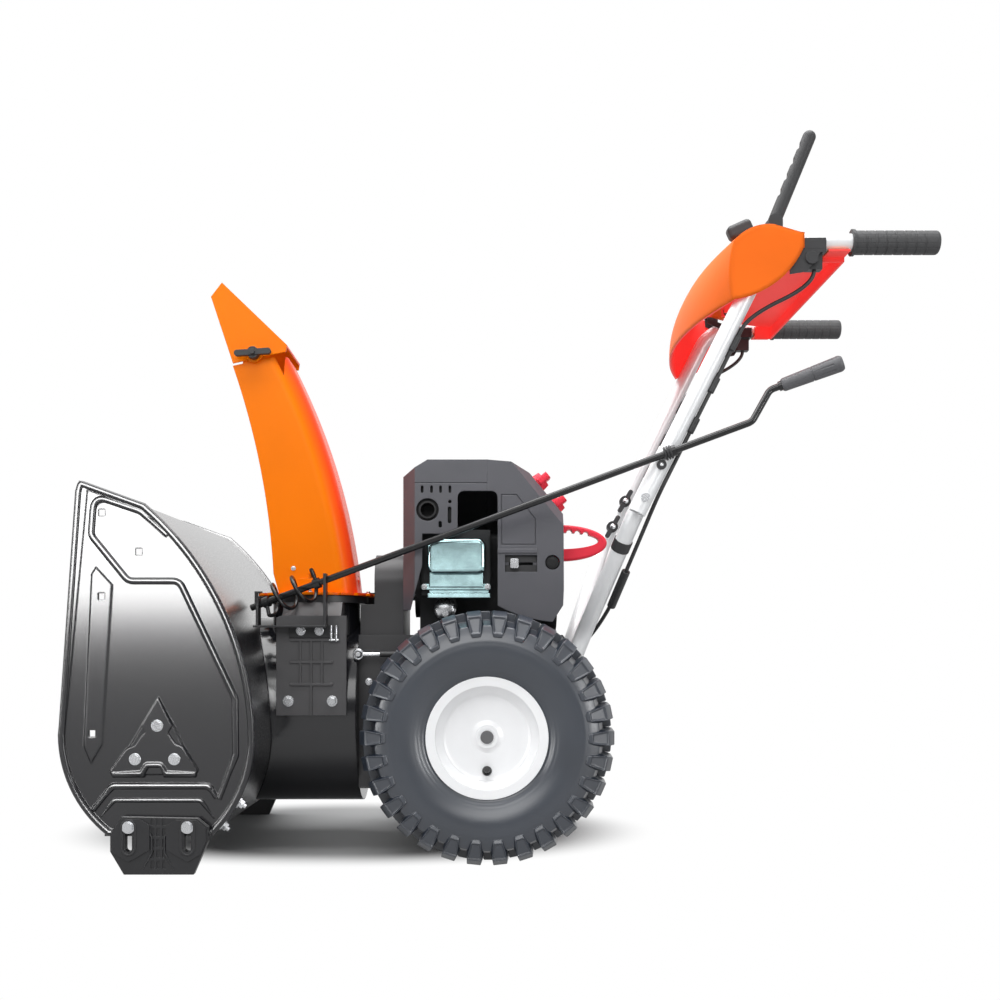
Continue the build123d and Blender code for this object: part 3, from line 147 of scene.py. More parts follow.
def rounded(tree, radius):
    node = tree.nodes.new("ShaderNodeBevel")
    node.samples = grainValues["edgeSamples"]
    node.inputs["Radius"].default_value = radius
    return node.outputs["Normal"]


def pads(tree, scale):
    place = tree.nodes.new("ShaderNodeTexCoord")
    turn = tree.nodes.new("ShaderNodeMapping")
    turn.inputs["Rotation"].default_value = (math.radians(90), 0, 0)
    brick = tree.nodes.new("ShaderNodeTexBrick")
    brick.inputs["Scale"].default_value = scale
    brick.inputs["Mortar Size"].default_value = grainValues["padMortar"]
    brick.inputs["Mortar Smooth"].default_value = grainValues["padSmooth"]
    for socket, value in (("Color1", 1.0), ("Color2", 1.0), ("Mortar", 0.0)):
        brick.inputs[socket].default_value = (value, value, value, 1)
    link(tree, place.outputs["Object"], turn.inputs["Vector"])
    link(tree, turn.outputs["Vector"], brick.inputs["Vector"])
    return brick.outputs["Color"]


# Mask of faces turned towards the rear, which take a darker red as painted shade
def rearShadeMask(tree):
    place = tree.nodes.new("ShaderNodeTexCoord")
    split = tree.nodes.new("ShaderNodeSeparateXYZ")
    link(tree, place.outputs["Normal"], split.inputs["Vector"])
    return mapRange(tree, split.outputs["X"], *grainValues["rearShade"])


def surface(name, values):
    material, tree, shader = newMaterial(name)
    colour = Vector(values["colour"])
    vary = values.get("vary", grainValues["vary"])
    scale = values.get("broadScale", grainValues["broadScale"])
    broad = noise(tree, scale, grainValues["broadDetail"], grainValues["broadRoughness"])
    tint = ramp(tree, broad, grainValues["broadStops"], (colour * (1 - vary), colour * (1 + vary)))
    # Faces turned to the rear get the darker rear colour: painted shade
    if "rearShade" in values:
        tint = mixColour(tree, rearShadeMask(tree), tint, values["rearShade"])
    link(tree, tint, shader.inputs["Base Color"])
    grain = grainValues["fineDetail"], grainValues["fineRoughness"]
    fine = noise(tree, values["grainScale"], *grain, values.get("stretch"))
    low, high = values["roughness"]
    link(tree, mapRange(tree, fine, low=low, high=high), shader.inputs["Roughness"])
    for socket, key, usual in shaderInputs:
        shader.inputs[socket].default_value = values.get(key, usual)
    # A glow adds painted light: the surface emits its own colour although it is no lamp
    if "glow" in values:
        link(tree, tint, shader.inputs["Emission Color"])
        shader.inputs["Emission Strength"].default_value = values["glow"]
    base = rounded(tree, values["edge"]) if "edge" in values else None
    if "pads" in values:
        base = bump(tree, shader, pads(tree, values["pads"]), grainValues["padBump"], grainValues["padDepth"], base)
    bump(tree, shader, fine, values["bump"], grainValues["bumpDepth"], base)
    return material


looks = {
    "housingPaint": dict(
        colour=(0.0105, 0.0105, 0.0128), roughness=(0.13, 0.17), ior=1.58, grainScale=420.0, bump=0.02, edge=0.003),
    "wrapPaint": dict(
        colour=(0.0105, 0.0105, 0.0128), roughness=(0.24, 0.30), ior=1.75, coat=1.0, coatRoughness=0.28,
        grainScale=420.0, bump=0.02, edge=0.003),
    "caseGrey": dict(
        colour=(0.038, 0.037, 0.039), roughness=(0.36, 0.5), vary=0.16, grainScale=900.0, bump=0.1, edge=0.001),
    "castBlack": dict(colour=(0.016, 0.016, 0.018), roughness=(0.34, 0.5), grainScale=1100.0, bump=0.12, edge=0.001),
    "towerPlastic": dict(
        colour=(0.072, 0.070, 0.073), roughness=(0.42, 0.56), vary=0.16, grainScale=1100.0, bump=0.12, edge=0.0016),
    # The chute's rear-facing faces turn darker red: painted shade
    "orangePaint": dict(
        colour=(0.98, 0.205, 0.0003), rearShade=(0.98, 0.07, 0.012), shine=0.08, roughness=(0.24, 0.32), vary=0.03,
        grainScale=500.0, bump=0.03, edge=0.0015),
    "orangePlastic": dict(
        colour=(0.96, 0.168, 0.014), shine=0.06, roughness=(0.36, 0.48), vary=0.04,
        grainScale=1300.0, bump=0.06, edge=0.010),
    # Inside faces of the dash: a redder copy of the dash plastic stands for their shade, and a glow adds painted light
    # to them
    "dashInsideShadeGlow": dict(
        colour=(1.0, 0.075, 0.065), glow=0.26, shine=0.1, roughness=(0.4, 0.52), vary=0.06,
        grainScale=1300.0, bump=0.06, edge=0.001),
    "shroudPlastic": dict(
        colour=(0.076, 0.076, 0.089), shine=0.6, roughness=(0.36, 0.5), grainScale=1700.0, bump=0.16, edge=0.0016),
    "redPlastic": dict(
        colour=(0.88, 0.036, 0.066), shine=0.2, roughness=(0.32, 0.44), vary=0.05,
        grainScale=900.0, bump=0.05, edge=0.0015),
    "blackPlastic": dict(
        colour=(0.024, 0.024, 0.026), roughness=(0.42, 0.56), grainScale=1500.0, bump=0.14, edge=0.001),
    "leverPlastic": dict(colour=(0.028, 0.028, 0.030), roughness=(0.5, 0.64), grainScale=1500.0, bump=0.16, edge=0.001),
    "gripRubber": dict(
        colour=(0.050, 0.050, 0.052), roughness=(0.55, 0.7), grainScale=1800.0, bump=0.2, edge=0.001, pads=42.0),
    "greyPlastic": dict(colour=(0.105, 0.105, 0.112), roughness=(0.45, 0.6), grainScale=1500.0, bump=0.14, edge=0.001),
    "zincBolt": dict(
        colour=(0.66, 0.67, 0.69), metallic=1.0, roughness=(0.2, 0.34), grainScale=700.0, bump=0.08, edge=0.0006),
    "silverTube": dict(
        colour=(0.9, 0.905, 0.91), metallic=0.12, roughness=(0.3, 0.42), vary=0.05,
        grainScale=300.0, stretch=(1, 1, 0.08), bump=0.04),
    # The rims glow slightly: painted light that brightens them
    "rimPaintGlow": dict(
        colour=(0.93, 0.93, 0.935), glow=0.03, metallic=0.1, roughness=(0.34, 0.46), vary=0.05,
        grainScale=700.0, bump=0.05, edge=0.0012),
    "zincCover": dict(
        colour=(0.40, 0.58, 0.60), metallic=1.0, roughness=(0.1, 0.2), vary=0.3, broadScale=26.0,
        grainScale=600.0, bump=0.05, edge=0.0025),
    "engineBlack": dict(
        colour=(0.030, 0.031, 0.033), metallic=0.5, roughness=(0.42, 0.58), grainScale=900.0, bump=0.25, edge=0.0006),
    "mufflerSteel": dict(
        colour=(0.020, 0.020, 0.021), metallic=0.4, roughness=(0.45, 0.65), vary=0.3, grainScale=500.0, bump=0.1),
    "blackRod": dict(colour=(0.010, 0.010, 0.011), roughness=(0.2, 0.3), ior=1.48, grainScale=500.0, bump=0.04),
    "tyreRubber": dict(
        colour=(0.026, 0.033, 0.047), shine=0.95, roughness=(0.27, 0.38), grainScale=700.0, bump=0.14, edge=0.0012),
    "sheath": dict(colour=(0.018, 0.018, 0.019), roughness=(0.4, 0.5), grainScale=900.0, bump=0.1),
    "axleSteel": dict(
        colour=(0.16, 0.16, 0.165), metallic=0.6, roughness=(0.3, 0.45), grainScale=700.0, bump=0.08, edge=0.0006),
    "cordBraid": dict(colour=(0.10, 0.10, 0.105), roughness=(0.8, 0.95), grainScale=2500.0, bump=0.5),
}
materials = {name: surface(name, values) for name, values in looks.items()}

finish = {
    "housingPaint": ("side_plates", "impeller_drum", "scraper_bar", "bottom_cover",
                     "auger_left", "auger_right", "impeller_fan", "auger_gearbox"),
    "wrapPaint": ("auger_housing",),
    "caseGrey": ("transmission_case", "belt_cover"),
    "castBlack": ("chute_collar", "skid_shoes", "worm_bracket"),
    "towerPlastic": ("tower_bracket",),
    "orangePaint": ("chute", "deflector"),
    "orangePlastic": ("dash_panel",),
    "shroudPlastic": ("front_shroud", "rear_shroud", "fuel_tank"),
    "redPlastic": ("recoil_handle", "choke_knob", "stop_knob"),
    "blackPlastic": ("deflector_knobs", "handle_knobs", "lever_brackets", "shift_lever", "fuel_cap", "cable_ties"),
    "leverPlastic": ("drive_lever", "auger_lever"),
    "gripRubber": ("grips",),
    "greyPlastic": ("crank_grip",),
    "zincBolt": ("shoe_bolts", "bearing_bolts", "handle_bolts", "axle_bushes", "impeller_bearing", "auger_bearings",
                 "auger_shaft", "impeller_shaft", "impeller_pulley", "engine_pulley", "fuel_lever"),
    "silverTube": ("lower_handles", "upper_handles"),
    "rimPaintGlow": ("rims",),
    "zincCover": ("valve_cover",),
    "engineBlack": ("engine_block",),
    "mufflerSteel": ("muffler",),
    "blackRod": ("chute_worm", "crank_rod", "rod_guide", "valve_stems"),
    "tyreRubber": ("tyres",),
    "sheath": ("drive_belt", "control_cables"),
    "axleSteel": ("axle",),
    "cordBraid": ("starter_cord",),
}
smoothAngles = {"usual": 32, "dash_panel": 60, "tyre": 38, "pressed": 50}


def smooth(data, angle):
    for polygon in data.polygons:
        polygon.use_smooth = True
    data.set_sharp_from_angle(angle=math.radians(angle))


for materialName, names in finish.items():
    for name in names:
        nodes[name].data.materials.clear()
        nodes[name].data.materials.append(materials[materialName])
for name, node in nodes.items():
    smooth(node.data, smoothAngles.get(name, smoothAngles["usual"]))
print("materials set:", len(materials))

axleX = -0.0235
dashShadeValues = {"up": 0.25, "cheekY": 0.2812, "cheek": 0.7, "front": -0.15, "frontX": 0.5, "lip": 0.7, "lipX": 0.518}


# Faces of the dash that face down or to the rear take the redder, glowing copy of the plastic: painted shade and
# painted glow
def paintDashInsideShade():
    panel = nodes["dash_panel"]
    panel.data.materials.append(materials["dashInsideShadeGlow"])
    turn = panel.matrix_world.to_3x3()
    for polygon in panel.data.polygons:
        centre = panel.matrix_world @ polygon.center
        normal = (turn @ polygon.normal).normalized()
        x = centre.x - axleX
        top = normal.z > dashShadeValues["up"]
        cheek = abs(centre.y) > dashShadeValues["cheekY"] and abs(normal.y) > dashShadeValues["cheek"]
        front = normal.x < dashShadeValues["front"] and x < dashShadeValues["frontX"]
        lip = normal.x > dashShadeValues["lip"] and x > dashShadeValues["lipX"]
        if not (top or cheek or front or lip):
            polygon.material_index = 1


paintDashInsideShade()


def at(x, y, z):
    return Vector((x / 1000 + axleX, y / 1000, z / 1000))


def meshPiece(name, shape, body, materialName, angle="usual", edge=None):
    data = bpy.data.meshes.new(name)
    data.from_pydata([tuple(v) for v in shape.vertices], [], shape.faces)
    data.update()
    work = bmesh.new()
    work.from_mesh(data)
    bmesh.ops.recalc_face_normals(work, faces=work.faces)
    work.to_mesh(data)
    work.free()
    smooth(data, smoothAngles[angle])
    piece = bpy.data.objects.new(name, data)
    bpy.context.collection.objects.link(piece)
    piece.data.materials.append(materials[materialName])
    if body:
        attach(piece, body)
    if edge:
        bevelEdges(piece, edge)
    return piece


def bevelEdges(piece, width):
    modifier = piece.modifiers.new("rounded edges", "BEVEL")
    modifier.width = width
    modifier.segments = 2
    modifier.limit_method = "ANGLE"
    modifier.angle_limit = math.radians(35)


def turnsOf(count):
    return [math.tau * i / count for i in range(count)]


def sideways(axis):
    across = axis.orthogonal().normalized()
    return across, axis.cross(across)


shapeValues = {"rodSides": 24, "domeSides": 32, "domeSteps": 7, "domeReach": 84, "loopSteps": 28, "wireSides": 10}


class Shape:
    def __init__(self):
        self.vertices = []
        self.faces = []

    def add(self, vertices, faces):
        start = len(self.vertices)
        self.vertices += vertices
        self.faces += [tuple(start + i for i in face) for face in faces]

    def rings(self, rings, closed=False):
        count = len(rings[0])
        vertices = [v for ring in rings for v in ring]
        faces = []
        for i in range(len(rings) if closed else len(rings) - 1):
            low, high = i * count, ((i + 1) % len(rings)) * count
            for j in range(count):
                k = (j + 1) % count
                faces.append((low + j, low + k, high + k, high + j))
        if not closed:
            faces += [tuple(range(count)), tuple(range(len(vertices) - count, len(vertices)))]
        self.add(vertices, faces)

    def rod(self, start, end, radius, sides=shapeValues["rodSides"]):
        across, up = sideways((end - start).normalized())
        self.rings([
            [point + radius * (math.cos(t) * across + math.sin(t) * up) for t in turnsOf(sides)]
            for point in (start, end)
        ])

    def block(self, low, high):
        corners = ((low.x, low.y), (high.x, low.y), (high.x, high.y), (low.x, high.y))
        self.rings([[Vector((x, y, z)) for x, y in corners] for z in (low.z, high.z)])

    def dome(self, seat, axis, radius, height):
        axis = Vector(axis).normalized()
        across, up = sideways(axis)
        rings = []
        for i in range(shapeValues["domeSteps"]):
            t = math.radians(shapeValues["domeReach"]) * i / (shapeValues["domeSteps"] - 1)
            centre, reach = seat + axis * height * math.sin(t), radius * math.cos(t)
            turns = turnsOf(shapeValues["domeSides"])
            rings.append([centre + reach * (math.cos(u) * across + math.sin(u) * up) for u in turns])
        self.rings(rings)

    def loop(self, centre, axis, radius, wire):
        axis = Vector(axis).normalized()
        across, up = sideways(axis)
        rings = []
        for t in turnsOf(shapeValues["loopSteps"]):
            out = math.cos(t) * across + math.sin(t) * up
            turns = turnsOf(shapeValues["wireSides"])
            rings.append([centre + out * (radius + wire * math.cos(u)) + axis * wire * math.sin(u) for u in turns])
        self.rings(rings, closed=True)

    def bolt(self, seat, axis, radius, height):
        axis = Vector(axis).normalized()
        self.rod(seat, seat + axis * height * 0.3, radius * 1.35)
        self.rod(seat + axis * height * 0.25, seat + axis * height, radius, 6)


tyreValues = {
    "lugs": 30, "steps": 180, "radius": 0.185, "crown": 0.172, "centre": 0.201, "rootSpread": 1.25,
    "pocket": 0.0028, "pocketRim": 0.0032, "pocketFace": 8, "edge": 0.001,
    "seat": ((0.078, 0.0495), (0.0908, 0.0495)), "shoulder": (0.163, 0.054),
    "wallStart": 0.091, "wallDepth": 0.072, "wallHalf": 0.0495, "flare": 0.0045, "bulge": 0.0435,
    "wallSteps": 32, "crownSteps": 12,
    "ribs": ((0.0985, 0.0012, 0.0011), (0.1035, 0.0007, 0.0009), (0.1415, 0.0006, 0.0012)),
    "inside": ((0.078, -0.038), (0.098, -0.038), (0.150, -0.043), (0.161, 0.0),
               (0.150, 0.043), (0.098, 0.038), (0.078, 0.038)),
}
# Outer radius and side, inner radius and side, half width, lean
lugStations = (
    (0.185, 0.003, 0.164, 0.003, 0.0085, 0.004),
    (0.185, 0.043, 0.160, 0.043, 0.0102, 0.0),
    (0.1765, 0.0562, 0.157, 0.050, 0.0106, 0.0),
    (0.1520, 0.0640, 0.148, 0.0555, 0.0068, 0.0),
    (0.1465, 0.0622, 0.1455, 0.0565, 0.0056, 0.0),
)


def tyreWall():
    outline = list(tyreValues["seat"])
    for i in range(1, tyreValues["wallSteps"] + 1):
        t = i / tyreValues["wallSteps"]
        r = tyreValues["wallStart"] + tyreValues["wallDepth"] * t
        y = tyreValues["wallHalf"] + tyreValues["flare"] * t + tyreValues["bulge"] * t * (1 - t)
        for ring, height, width in tyreValues["ribs"]:
            y += height * math.exp(-((r - ring) / width) ** 2)
        outline.append((r, y))
    shoulder, half = tyreValues["shoulder"]
    for i in range(1, tyreValues["crownSteps"] + 1):
        t = i / tyreValues["crownSteps"]
        outline.append((shoulder + (tyreValues["crown"] - shoulder) * math.sin(t * math.pi / 2), half * (1 - t)))
    far = [(r, -y) for r, y in reversed(outline[:-1])]
    return outline + far + list(tyreValues["inside"])


def buildTyre(name, side):
    shape = Shape()
    centre = at(0, side * tyreValues["centre"] * 1000, tyreValues["radius"] * 1000)
    wall = tyreWall()

    def place(r, y, tangent, turn):
        x = r * math.cos(turn) - tangent * math.sin(turn)
        z = r * math.sin(turn) + tangent * math.cos(turn)
        return centre + Vector((x, y, z))

    shape.rings([[place(r, y, 0, turn) for r, y in wall] for turn in turnsOf(tyreValues["steps"])], closed=True)
    pockets = []
    for row, shift in ((1, 0.0), (-1, 0.5)):
        for i in range(tyreValues["lugs"]):
            turn = math.tau * (i + shift) / tyreValues["lugs"]
            rings = []
            for out, outY, deep, deepY, half, lean in lugStations:
                root = half * tyreValues["rootSpread"]
                corners = (
                    (out, outY, lean - half), (out, outY, lean + half),
                    (deep, deepY, lean + root), (deep, deepY, lean - root),
                )
                rings.append([place(r, row * side * y, tangent, turn) for r, y, tangent in corners])
            pockets.append(len(shape.faces) + tyreValues["pocketFace"])
            shape.rings(rings)
    piece = meshPiece(name, shape, "wheels", "tyreRubber", "tyre")
    work = bmesh.new()
    work.from_mesh(piece.data)
    work.faces.ensure_lookup_table()
    bmesh.ops.inset_individual(
        work, faces=[work.faces[i] for i in pockets], thickness=tyreValues["pocketRim"], depth=-tyreValues["pocket"])
    work.to_mesh(piece.data)
    work.free()
    piece.data.set_sharp_from_angle(angle=math.radians(smoothAngles["tyre"]))
    bevelEdges(piece, tyreValues["edge"])
    return piece


tyres = [buildTyre("tyreLeft", -1), buildTyre("tyreRight", 1)]
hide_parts("tyres")
print("tyres built")

cableValues = {
    "thickness": 0.006, "standOff": 16.2, "tubeFoot": (226, 531), "tubeRun": (184, 367), "tubeY": 262,
    "outward": (0.894, -0.4482), "lever": ((470, 262, 857.6), (470, 262, 838)),
    "heights": (800, 760, 700, 640, 580, 540),
    "case": ((226.9, 228.6, 482.7), (177.3, 121.7, 344.7), (140.4, 91, 312)),
}


def alongTube(z):
    (footX, footZ), (runX, runZ) = cableValues["tubeFoot"], cableValues["tubeRun"]
    outX, outZ = (cableValues["standOff"] * share for share in cableValues["outward"])
    return footX + (z - footZ) * runX / runZ + outX, cableValues["tubeY"], z + outZ


def cableRoute(side):
    route = [*cableValues["lever"], *(alongTube(z) for z in cableValues["heights"]), *cableValues["case"]]
    return [at(x, side * y, z) for x, y, z in route]


def buildCable(name, side):
    route = cableRoute(side)
    data = bpy.data.curves.new(name, "CURVE")
    data.dimensions = "3D"
    data.bevel_depth = cableValues["thickness"] / 2
    data.bevel_resolution = 4
    data.resolution_u = 16
    spline = data.splines.new("NURBS")
    spline.points.add(len(route) - 1)
    for point, place in zip(spline.points, route):
        point.co = tuple(place) + (1.0,)
    spline.order_u = 3
    spline.use_endpoint_u = True
    piece = bpy.data.objects.new(name, data)
    bpy.context.collection.objects.link(piece)
    data.materials.append(materials["sheath"])
    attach(piece, "chassis")
    bpy.context.view_layer.update()
    return piece


cables = [buildCable("controlCableLeft", -1), buildCable("controlCableRight", 1)]
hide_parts("control_cables")

clipValues = {"heights": (632, 690, 750), "length": 24.0, "radius": 0.0054, "edge": 0.0012}


def buildClips():
    shape = Shape()
    runX, runZ = cableValues["tubeRun"]
    along = Vector((runX, 0, runZ)).normalized() / 1000
    for side in (-1, 1):
        for z in clipValues["heights"]:
            x, y, low = alongTube(z)
            seat = at(x, side * y, low)
            shape.rod(seat, seat + along * clipValues["length"], clipValues["radius"])
    piece = meshPiece("cableClips", shape, "chassis", "blackPlastic", edge=clipValues["edge"])
    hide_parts("cable_ties")


buildClips()

starterValues = {"radius": 0.0025, "rings": 40, "sides": 12, "fixed": 0.004, "moving": 0.008}


def buildStarterCord():
    low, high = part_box("starter_cord")
    middle = (low + high) / 2
    shape = Shape()
    radius, rings = starterValues["radius"], []
    for i in range(starterValues["rings"] + 1):
        x = low.x + (high.x - low.x) * i / starterValues["rings"]
        turns = turnsOf(starterValues["sides"])
        rings.append([Vector((x, middle.y + radius * math.cos(t), middle.z + radius * math.sin(t))) for t in turns])
    shape.rings(rings)
    piece = meshPiece("starterCord", shape, None, "cordBraid")
    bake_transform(piece)
    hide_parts("starter_cord")


buildStarterCord()

pressedValues = {
    "face": 305.0, "padHeight": 5.5, "padSlope": 2.6, "padFoot": 1.5, "sink": 0.6, "steps": 10, "taper": (2, 8),
    "plateFace": 0.3075, "rimGap": 0.3, "shortEdge": 2,
    "bead": {"half": 5.0, "height": 3.9, "base": 305.0, "corner": 16.0},
    "sill": {"half": 5.0, "height": 3.9, "base": 305.0, "corner": 8.0},
    "step": {"half": 3.4, "height": 2.6, "base": 305.0, "corner": 8.0},
    "pad": {"half": 3.0, "height": 2.4, "base": 310.3, "corner": 5.0},
    "rim": {"half": 4.6, "height": 3.4, "base": 307.6, "corner": 3.0},
    "shoe": {"half": 2.1, "height": 1.8, "base": 322.8, "corner": 1.0},
    "web": {"half": 1.7, "height": 2.4, "base": 319.8, "corner": 4.0},
}
pressedPaths = {
    "bead": ((-449, 474), (-487, 508), (-552, 530), (-556, 474), (-504, 410),
             (-432, 410), (-354, 246), (-353, 165), (-376, 104)),
    "sill": ((-553, 88), (-526, 122), (-391, 122), (-380, 106)),
    "step": ((-543, 78), (-524, 102), (-402, 102), (-383, 76)),
    "pad": ((-525, 140), (-484, 140), (-477, 152), (-457, 152), (-450, 140), (-409, 140)),
}
padOutline = (
    (-461, 246), (-442, 207), (-448, 197), (-437, 181), (-427, 177), (-407, 145), (-410, 136), (-452, 136), (-458, 149),
    (-475, 149), (-482, 136), (-524, 136), (-528, 143), (-505, 174), (-493, 179), (-488, 187), (-479, 197), (-484, 207),
)


def roundedPath(points, radius, steps=8):
    points = [Vector(p) for p in points]
    path = [points[0]]
    for before, corner, after in zip(points, points[1:], points[2:]):
        away, on = (before - corner).normalized(), (after - corner).normalized()
        half = math.acos(max(-1, min(1, away.dot(on)))) / 2
        cut = min(radius / math.tan(half), (before - corner).length * 0.45, (after - corner).length * 0.45)
        for i in range(steps + 1):
            t = i / steps
            path.append((1 - t) ** 2 * (corner + away * cut) + 2 * t * (1 - t) * corner + t ** 2 * (corner + on * cut))
    return path + [points[-1]]


def addBead(shape, points, side, bead):
    path = roundedPath(points, bead["corner"])
    closed = (path[0] - path[-1]).length < 0.1
    ways = [0.0]
    for a, b in zip(path, path[1:]):
        ways.append(ways[-1] + (b - a).length)
    start, taper = pressedValues["taper"]
    rings = []
    for i, spot in enumerate(path):
        run = (path[min(i + 1, len(path) - 1)] - path[max(i - 1, 0)]).normalized()
        size = 1.0 if closed else min(1.0, (min(ways[i], ways[-1] - ways[i]) + start) / taper)
        reach = Vector((-run.y, run.x)) * bead["half"] * size
        ring = []
        for turn in range(pressedValues["steps"] + 1):
            t = math.pi * turn / pressedValues["steps"]
            place = spot + reach * math.cos(t)
            ring.append(at(place.x, side * (bead["base"] + size * bead["height"] * math.sin(t)), place.y))
        feet = (spot - reach, spot + reach)
        rings.append(ring + [at(p.x, side * (bead["base"] - pressedValues["sink"]), p.y) for p in feet])
    shape.rings(rings)


def cornersOf(points):
    for before, spot, after in zip(points[-1:] + points[:-1], points, points[1:] + points[:1]):
        first, second = (spot - before).normalized(), (after - spot).normalized()
        yield spot, (Vector((-first.y, first.x)) + Vector((-second.y, second.x))).normalized()


def rimPath(side):
    plate = nodes["side_plates"]
    spots = [plate.matrix_world @ vertex.co for vertex in plate.data.vertices]
    spots = [Vector(((p.x - axleX) * 1000, p.z * 1000)) for p in spots if p.y * side > pressedValues["plateFace"]]
    hull = [spots[i] for i in convex_hull_2d(spots)]
    outline = [a for a, b in zip(hull, hull[1:] + hull[:1]) if (b - a).length > pressedValues["shortEdge"]]
    middle = sum(outline, Vector((0, 0))) / len(outline)
    inset = pressedValues["rim"]["half"] + pressedValues["rimGap"]
    inside = []
    for spot, inward in cornersOf(outline):
        if inward.dot(middle - spot) < 0:
            inward = -inward
        inside.append(spot + inward * inset)
    start = min(range(len(inside)), key=lambda i: inside[i].y)
    return inside[start:] + inside[:start + 1]


def addPad(shape, side):
    points = [Vector(p) for p in padOutline]
    foot = [spot + out * pressedValues["padSlope"] for spot, out in cornersOf(points)]
    face = pressedValues["face"]
    levels = ((foot, -pressedValues["sink"]), (foot, pressedValues["padFoot"]), (points, pressedValues["padHeight"]))
    shape.rings([[at(p.x, side * (face + height), p.y) for p in ring] for ring, height in levels])


def buildPressings():
    for name, side in (("pressingsLeft", -1), ("pressingsRight", 1)):
        shape = Shape()
        for kind, path in pressedPaths.items():
            addBead(shape, path, side, pressedValues[kind])
        addBead(shape, rimPath(side), side, pressedValues["rim"])
        addPad(shape, side)
        sheetMetal.append(meshPiece(name, shape, "chassis", "housingPaint", "pressed"))


shoeValues = {
    "bolts": (-499, -417), "slotMiddle": 52.0, "slotHalf": 15.0, "lip": 9.0, "lipSteps": 32,
    "webs": ((-480, -467), (-436, -449)), "webHeights": (76, 52, 30, 6),
}


def slotLip(x):
    oval = []
    for i in range(shoeValues["lipSteps"] + 1):
        t = math.tau * i / shoeValues["lipSteps"]
        lift = shoeValues["slotHalf"] if math.sin(t) >= 0 else -shoeValues["slotHalf"]
        z = shoeValues["slotMiddle"] + lift + shoeValues["lip"] * math.sin(t)
        oval.append((x + shoeValues["lip"] * math.cos(t), z))
    return oval + oval[:1]


def buildShoeRelief():
    for name, side in (("shoeReliefLeft", -1), ("shoeReliefRight", 1)):
        shape = Shape()
        for x in shoeValues["bolts"]:
            addBead(shape, slotLip(x), side, pressedValues["shoe"])
        for end, waist in shoeValues["webs"]:
            web = zip((end, waist, waist, end), shoeValues["webHeights"])
            addBead(shape, list(web), side, pressedValues["web"])
        meshPiece(name, shape, "chassis", "castBlack", "pressed")


sheetMetal = [nodes[name] for name in ("side_plates", "auger_housing")]
buildPressings()
buildShoeRelief()

# Place, radius and height in millimetres
boltValues = {
    "fixed": (
        ((-302.5, -152, 234), 6.2, 6), ((-235.6, -152, 234), 6.2, 6),
        ((-283, -155, 341), 5.4, 6), ((-255, -155, 341), 5.4, 6),
        ((-184, -105, 262), 4.2, 4), ((-184, -105, 190), 4.2, 4), ((-172, -105, 146), 4.2, 4),
        ((-95, -164, 407.5), 3.4, 4), ((1, -164, 407.5), 3.4, 4),
    ),
    "chute": (((-300, -116, 438), 2.8, 2), ((-279, -116, 408), 2.4, 2)),
    "ring": (((-190, -50, 400.5), 3.2, 4), ((-272, -132, 400.5), 3.0, 4), ((-330, -108, 400.5), 3.0, 4)),
    "shroud": (((98, -184, 443), 7.2, 3),),
    "washers": (
        ((-499, -322.8, 67), 9.6, 1.6), ((-417, -322.8, 67), 9.6, 1.6),
        ((-462, -310.3, 207), 8.4, 1.4), ((-493, -310.3, 160), 8.4, 1.4), ((-438, -310.3, 160), 8.4, 1.4),
    ),
    "heels": (((-350, 97), (0.84, -0.54)), ((-373, 66), (0.75, -0.66))),
    "heelY": 292,
    "heelParts": ((-12, 11, 3.2, 24), (-1, 1.4, 8.5, 24), (1, 7, 6.5, 6)),
    "pins": (
        ((-236.6, -158, 349), (-236.6, -158, 325), 2.1), ((-228.8, -158, 349), (-228.8, -158, 325), 2.1),
        ((-240, -158, 327), (-225, -158, 327), 1.6),
    ),
}


def addBolts(shape, kind, axis):
    for place, radius, height in boltValues[kind]:
        shape.bolt(at(*place), axis, radius / 1000, height / 1000)


def buildBolts():
    shape = Shape()
    addBolts(shape, "fixed", (0, -1, 0))
    for (x, y, z), radius, height in boltValues["washers"]:
        for side in (1, -1):
            shape.rod(at(x, side * y, z), at(x, side * (y - height), z), radius / 1000)
    for (x, z), (outX, outZ) in boltValues["heels"]:
        for side in (-1, 1):
            seat, out = at(x, side * boltValues["heelY"], z), Vector((outX, 0, outZ)) / 1000
            for start, end, radius, sides in boltValues["heelParts"]:
                shape.rod(seat + out * start, seat + out * end, radius / 1000, sides)
    for start, end, radius in boltValues["pins"]:
        shape.rod(at(*start), at(*end), radius / 1000)
    meshPiece("smallBolts", shape, "chassis", "zincBolt", edge=0.0004)
    turning = Shape()
    addBolts(turning, "chute", (0, -1, 0))
    addBolts(turning, "ring", (0, 0, 1))
    meshPiece("chuteScrews", turning, "chute", "zincBolt", edge=0.0003)
    dark = Shape()
    addBolts(dark, "shroud", (0, -1, 0))
    meshPiece("shroudScrew", dark, "chassis", "blackRod", edge=0.0004)


linkValues = {
    "eye": (-198, -128, 305), "ring": 0.007, "wire": 0.0019, "caseY": -105,
    "stud": 0.0035, "studEnd": 5, "end": (7, 34, 0.0032), "sleeve": (33, 96, 0.0044), "stay": (90, 0.004),
}


def buildCableLink():
    x, y, z = linkValues["eye"]
    shape = Shape()
    shape.loop(at(x, y, z), (0, 1, 0), linkValues["ring"], linkValues["wire"])
    shape.rod(at(x, linkValues["caseY"], z), at(x, y - linkValues["studEnd"], z), linkValues["stud"])
    start, end, radius = linkValues["end"]
    shape.rod(at(x + start, y, z), at(x + end, y, z), radius)
    meshPiece("cableEye", shape, "chassis", "zincBolt")
    sleeve = Shape()
    start, end, radius = linkValues["sleeve"]
    sleeve.rod(at(x + start, y, z), at(x + end, y, z), radius)
    along, radius = linkValues["stay"]
    sleeve.rod(at(x + along, linkValues["caseY"], z), at(x + along, y, z), radius)
    meshPiece("cableSleeve", sleeve, "chassis", "sheath")


